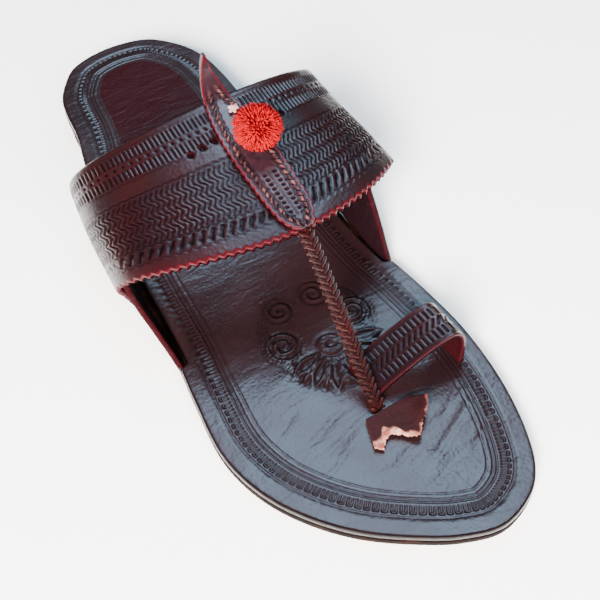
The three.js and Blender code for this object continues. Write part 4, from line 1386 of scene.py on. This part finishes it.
@dataclass
class ToeLoop:
    """The big-toe loop: a bent, stamped strap."""

    last: Last
    shell: Shell
    wall: float = 1.8
    width: float = 15.5
    inner_foot_x: float = -4.8
    span: float = 31.8
    height: float = 15.5
    sweep: float = 3.0
    middle_y: float = -70.6
    form: tuple[tuple[float, float, float], ...] = (
        (0, -0.15, 0), (0.01, 0.02, 0), (0.06, 0.16, 0), (0.18, 0.34, 0.1), (0.4, 0.6, 0.3), (0.62, 0.83, 0.5),
        (0.78, 0.96, 0.7), (0.89, 1, 0.8), (0.98, 0.86, 0.9), (1.01, 0.55, 1), (1, 0.2, 1), (0.99, -0.15, 1),
    )

    def build(self, finishes: Finishes) -> None:
        """Makes the strap with its three stamped rows."""
        columns, rows = 190, 48
        curve = Curve(self.form)
        share = np.linspace(0.0, 1.0, columns + 1)[:, None]
        across = np.linspace(0.0, 1.0, rows + 1)[None, :] * self.width

        def place(at: Array) -> Array:
            flat = curve.at(at)
            y = self.middle_y - flat[..., 2] * self.sweep
            z = self.last.insole_top(y) + flat[..., 1] * self.height
            return np.stack([self.inner_foot_x + flat[..., 0] * self.span, y, z], axis=-1)

        here = place(share)
        run = place(share + 0.02) - place(share - 0.02)
        square = np.stack([-run[..., 2], 0 * run[..., 0], run[..., 0]], axis=-1)
        square /= np.linalg.norm(square, axis=-1)[..., None]
        steps = np.linalg.norm(np.diff(here[:, 0], axis=0), axis=1)
        travel = np.concatenate([[0.0], np.cumsum(steps)])[:, None]
        relief = Relief(np.broadcast_to(travel, (columns + 1, rows + 1)), np.broadcast_to(across, (columns + 1, rows + 1)))
        within = smooth((travel - 8.0) / 2.0) * smooth((travel[-1] - 10.0 - travel) / 3.0)
        relief.line(1.2, 0.35, 0.5)
        relief.marks(2.0, 5.4, 1.9, 0.75, within=within)
        relief.marks(6.3, 9.2, 2.3, 0.8, slope=0.8, within=within)
        relief.marks(10.1, 13.5, 1.9, 0.75, within=within)
        relief.line(14.3, 0.35, 0.5)
        depth = relief.depth
        slide = np.stack([0 * across, self.width / 2 - across, 0 * across], axis=-1)
        face = here + square * (self.wall / 2 - 0.36 * depth)[..., None] + slide
        back = here - square * (self.wall / 2) + slide
        rim = np.broadcast_to(smooth((np.abs(across - self.width / 2) - self.width / 2 + 0.9) / 0.6), depth.shape)
        bend = np.broadcast_to(smooth((travel - travel[-1] * 0.62) / 9.0), depth.shape)
        start = np.broadcast_to(smooth((8.0 - travel) / 4.0), depth.shape)
        fields = {"tone": depth, "dye": np.clip(0.3 * rim + 0.5 * bend + 0.2 * start, 0, 1), "wear_and_sheen": 0.6 * bend}
        loop = self.shell.wall("toe_loop", face, np.broadcast_to(back, face.shape).copy(), fields)
        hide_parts("upper")
        dress(loop, finishes.band)


@dataclass
class ToeTab:
    """The strap's cut end in front of the post: ragged, raw and curling."""

    last: Last
    shell: Shell
    width: float = 24.0
    length: float = 14.0
    wall: float = 1.6
    curl: float = 4.2
    middle_x: float = -4.6
    rear_y: float = -83.5
    cut: Table = Table((
        (-0.5, 0.72), (-0.42, 0.84), (-0.27, 0.66), (-0.12, 0.74), (0, 0.96), (0.12, 1), (0.24, 0.78),
        (0.38, 0.62), (0.5, 0.36),
    ))
    lift: Table = Table((
        (-0.5, 0.02), (-0.42, 0.03), (-0.27, 0.1), (-0.12, 0.16), (0, 0.22), (0.12, 0.3), (0.24, 0.5),
        (0.38, 0.85), (0.5, 1),
    ))

    def build(self, finishes: Finishes) -> None:
        """Makes the tab, its face dark and its cut edge raw."""
        columns, rows = 120, 50
        chance = np.random.default_rng(SEED)
        across = np.linspace(-0.5, 0.5, columns + 1)[:, None]
        reach = np.linspace(0.0, 1.0, rows + 1)[None, :]
        ragged = np.interp(across[:, 0] * 60, np.arange(-31, 32), chance.normal(0, 0.022, 63))[:, None]
        y = self.rear_y - reach * self.length * (self.cut.at(across) + ragged * reach**4)
        x = self.middle_x + across * self.width * mix(0.7, 1.0, reach)
        rise = self.curl * self.lift.at(across) * reach**1.5
        wobble = 0.35 * np.sin(across * 23) * reach**3
        z = self.last.insole_top(y) + GAP + self.wall / 2 + rise + np.maximum(wobble, 0.0)
        thin = mix(1.0, 0.55, smooth((reach - 0.8) / 0.2))
        face = np.stack([x, y, z + self.wall / 2 * thin], axis=-1)
        back = np.stack([x, y, z - self.wall / 2 * thin], axis=-1)
        left = smooth((0.08 - across) / 0.2)
        fray = 0.06 * np.sin(across * 17) + 0.05 * np.sin(across * 41)
        raw = smooth((reach - 0.93 + 0.27 * left + fray) / 0.1)
        tone = np.clip(1.0 - raw, 0.0, 1.0) * np.ones_like(x)
        red = smooth((np.abs(across - 0.1) - 0.12) / 0.2) * raw
        fields = {"tone": tone, "dye": red * 0.55, "wear_and_sheen": raw * left * np.ones_like(x)}
        tab = self.shell.wall("cut_toe_tab", face, back, fields)
        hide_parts("toe_tab")
        dress(tab, finishes.raw)


@dataclass
class Studio:
    """A pale floor, soft lights and the camera, placed as the picture was taken."""

    last: Last
    camera_place: tuple[float, float, float] = (-110.78, -220.93, 270.86)
    forward: tuple[float, float, float] = (0.3121, 0.5576, -0.7692)
    roll: float = -0.0687
    focal_share: float = 1.6265
    sensor: float = 36.0

    def build(self) -> None:
        """Makes the camera, the floor, the lights and the world."""
        self.add_camera()
        self.add_floor()
        # Name, place and target in millimetres, size in metres, watts, colour and whether leather mirrors it.
        lights = (
            ("sheen_softbox", (325, 455, 1150), (0, -70, 8), (0.58, 0.9), 22, "#a9cbe8", True),
            ("side_fill", (-850, -800, 780), (0, 0, 20), (0.5, 0.5), 190, "#fff6f0", False),
            ("front_fill", (-60, -1200, 560), (0, -30, 10), (0.5, 0.5), 45, "#fffaf4", False),
        )
        for name, place, target, size, power, colour, mirrored in lights:
            self.add_light(name, place, target, size, power, colour).visible_glossy = mirrored
        world = bpy.data.worlds.new("studio_air")
        world.use_nodes = True
        world.node_tree.nodes["Background"].inputs["Color"].default_value = (1, 1, 1, 1)
        world.node_tree.nodes["Background"].inputs["Strength"].default_value = 0.12
        bpy.context.scene.world = world

    def add_camera(self) -> None:
        """Sets the camera at the picture's angle to the shoe."""
        ahead = Vector(self.forward).normalized()
        right = ahead.cross(Vector((0, 0, 1))).normalized()
        up = right.cross(ahead)
        image_right = (right + up * self.roll).normalized()
        image_up = (up - right * self.roll).normalized()
        data = bpy.data.cameras.new("camera")
        data.sensor_width = self.sensor
        data.lens = self.sensor * self.focal_share
        camera = bpy.data.objects.new("camera", data)
        place = Vector((np.array(self.camera_place) + self.last.shift) * MM)
        basis = Matrix((image_right, image_up, -ahead)).transposed().to_4x4()
        camera.matrix_world = Matrix.Translation(place) @ basis
        bpy.context.scene.collection.objects.link(camera)
        bpy.context.scene.camera = camera

    @staticmethod
    def add_floor() -> None:
        """Lays the pale floor."""
        work = bmesh.new()
        bmesh.ops.create_grid(work, x_segments=1, y_segments=1, size=6.0)
        mesh = bpy.data.meshes.new("floor")
        work.to_mesh(mesh)
        work.free()
        floor = bpy.data.objects.new("floor", mesh)
        bpy.context.scene.collection.objects.link(floor)
        graph = Graph("white_paper_sweep")
        graph.shader.inputs["Base Color"].default_value = linear("#f7f7f7")
        graph.shader.inputs["Roughness"].default_value = 0.9
        graph.shader.inputs["Specular IOR Level"].default_value = 0.1
        mesh.materials.append(graph.material)

    def add_light(self, name: str, place: Sequence[float], target: Sequence[float], size: Sequence[float],
                  power: float, colour: str) -> bpy.types.Object:
        """Hangs one soft light that faces its target."""
        data = bpy.data.lights.new(name, "AREA")
        data.shape = "RECTANGLE"
        data.size, data.size_y = size
        data.energy = power
        data.color = linear(colour)[:3]
        light = bpy.data.objects.new(name, data)
        here = Vector((np.array(place, float) + self.last.shift) * MM)
        aim = Vector((np.array(target, float) + self.last.shift) * MM) - here
        light.matrix_world = Matrix.Translation(here) @ aim.to_track_quat("-Z", "Y").to_matrix().to_4x4()
        bpy.context.scene.collection.objects.link(light)
        return light


def main() -> None:
    """Builds the studio and the sandal."""
    logging.basicConfig(level=logging.INFO, format="%(name)s %(message)s")
    last = Last()
    shell = Shell(last)
    Studio(last).build()
    finishes = Finishes()
    leaf = Leaf(last, shell)
    makers = (
        Sole(last, shell), Ear(last, shell, Side.OUTER), Ear(last, shell, Side.INNER), Band(last, shell), leaf,
        Pompom(last, shell, leaf), Knot(last, shell, leaf), Thong(last, shell), ToeLoop(last, shell),
        ToeTab(last, shell),
    )
    for maker in makers:
        maker.build(finishes)


if __name__ == "__main__":
    main()
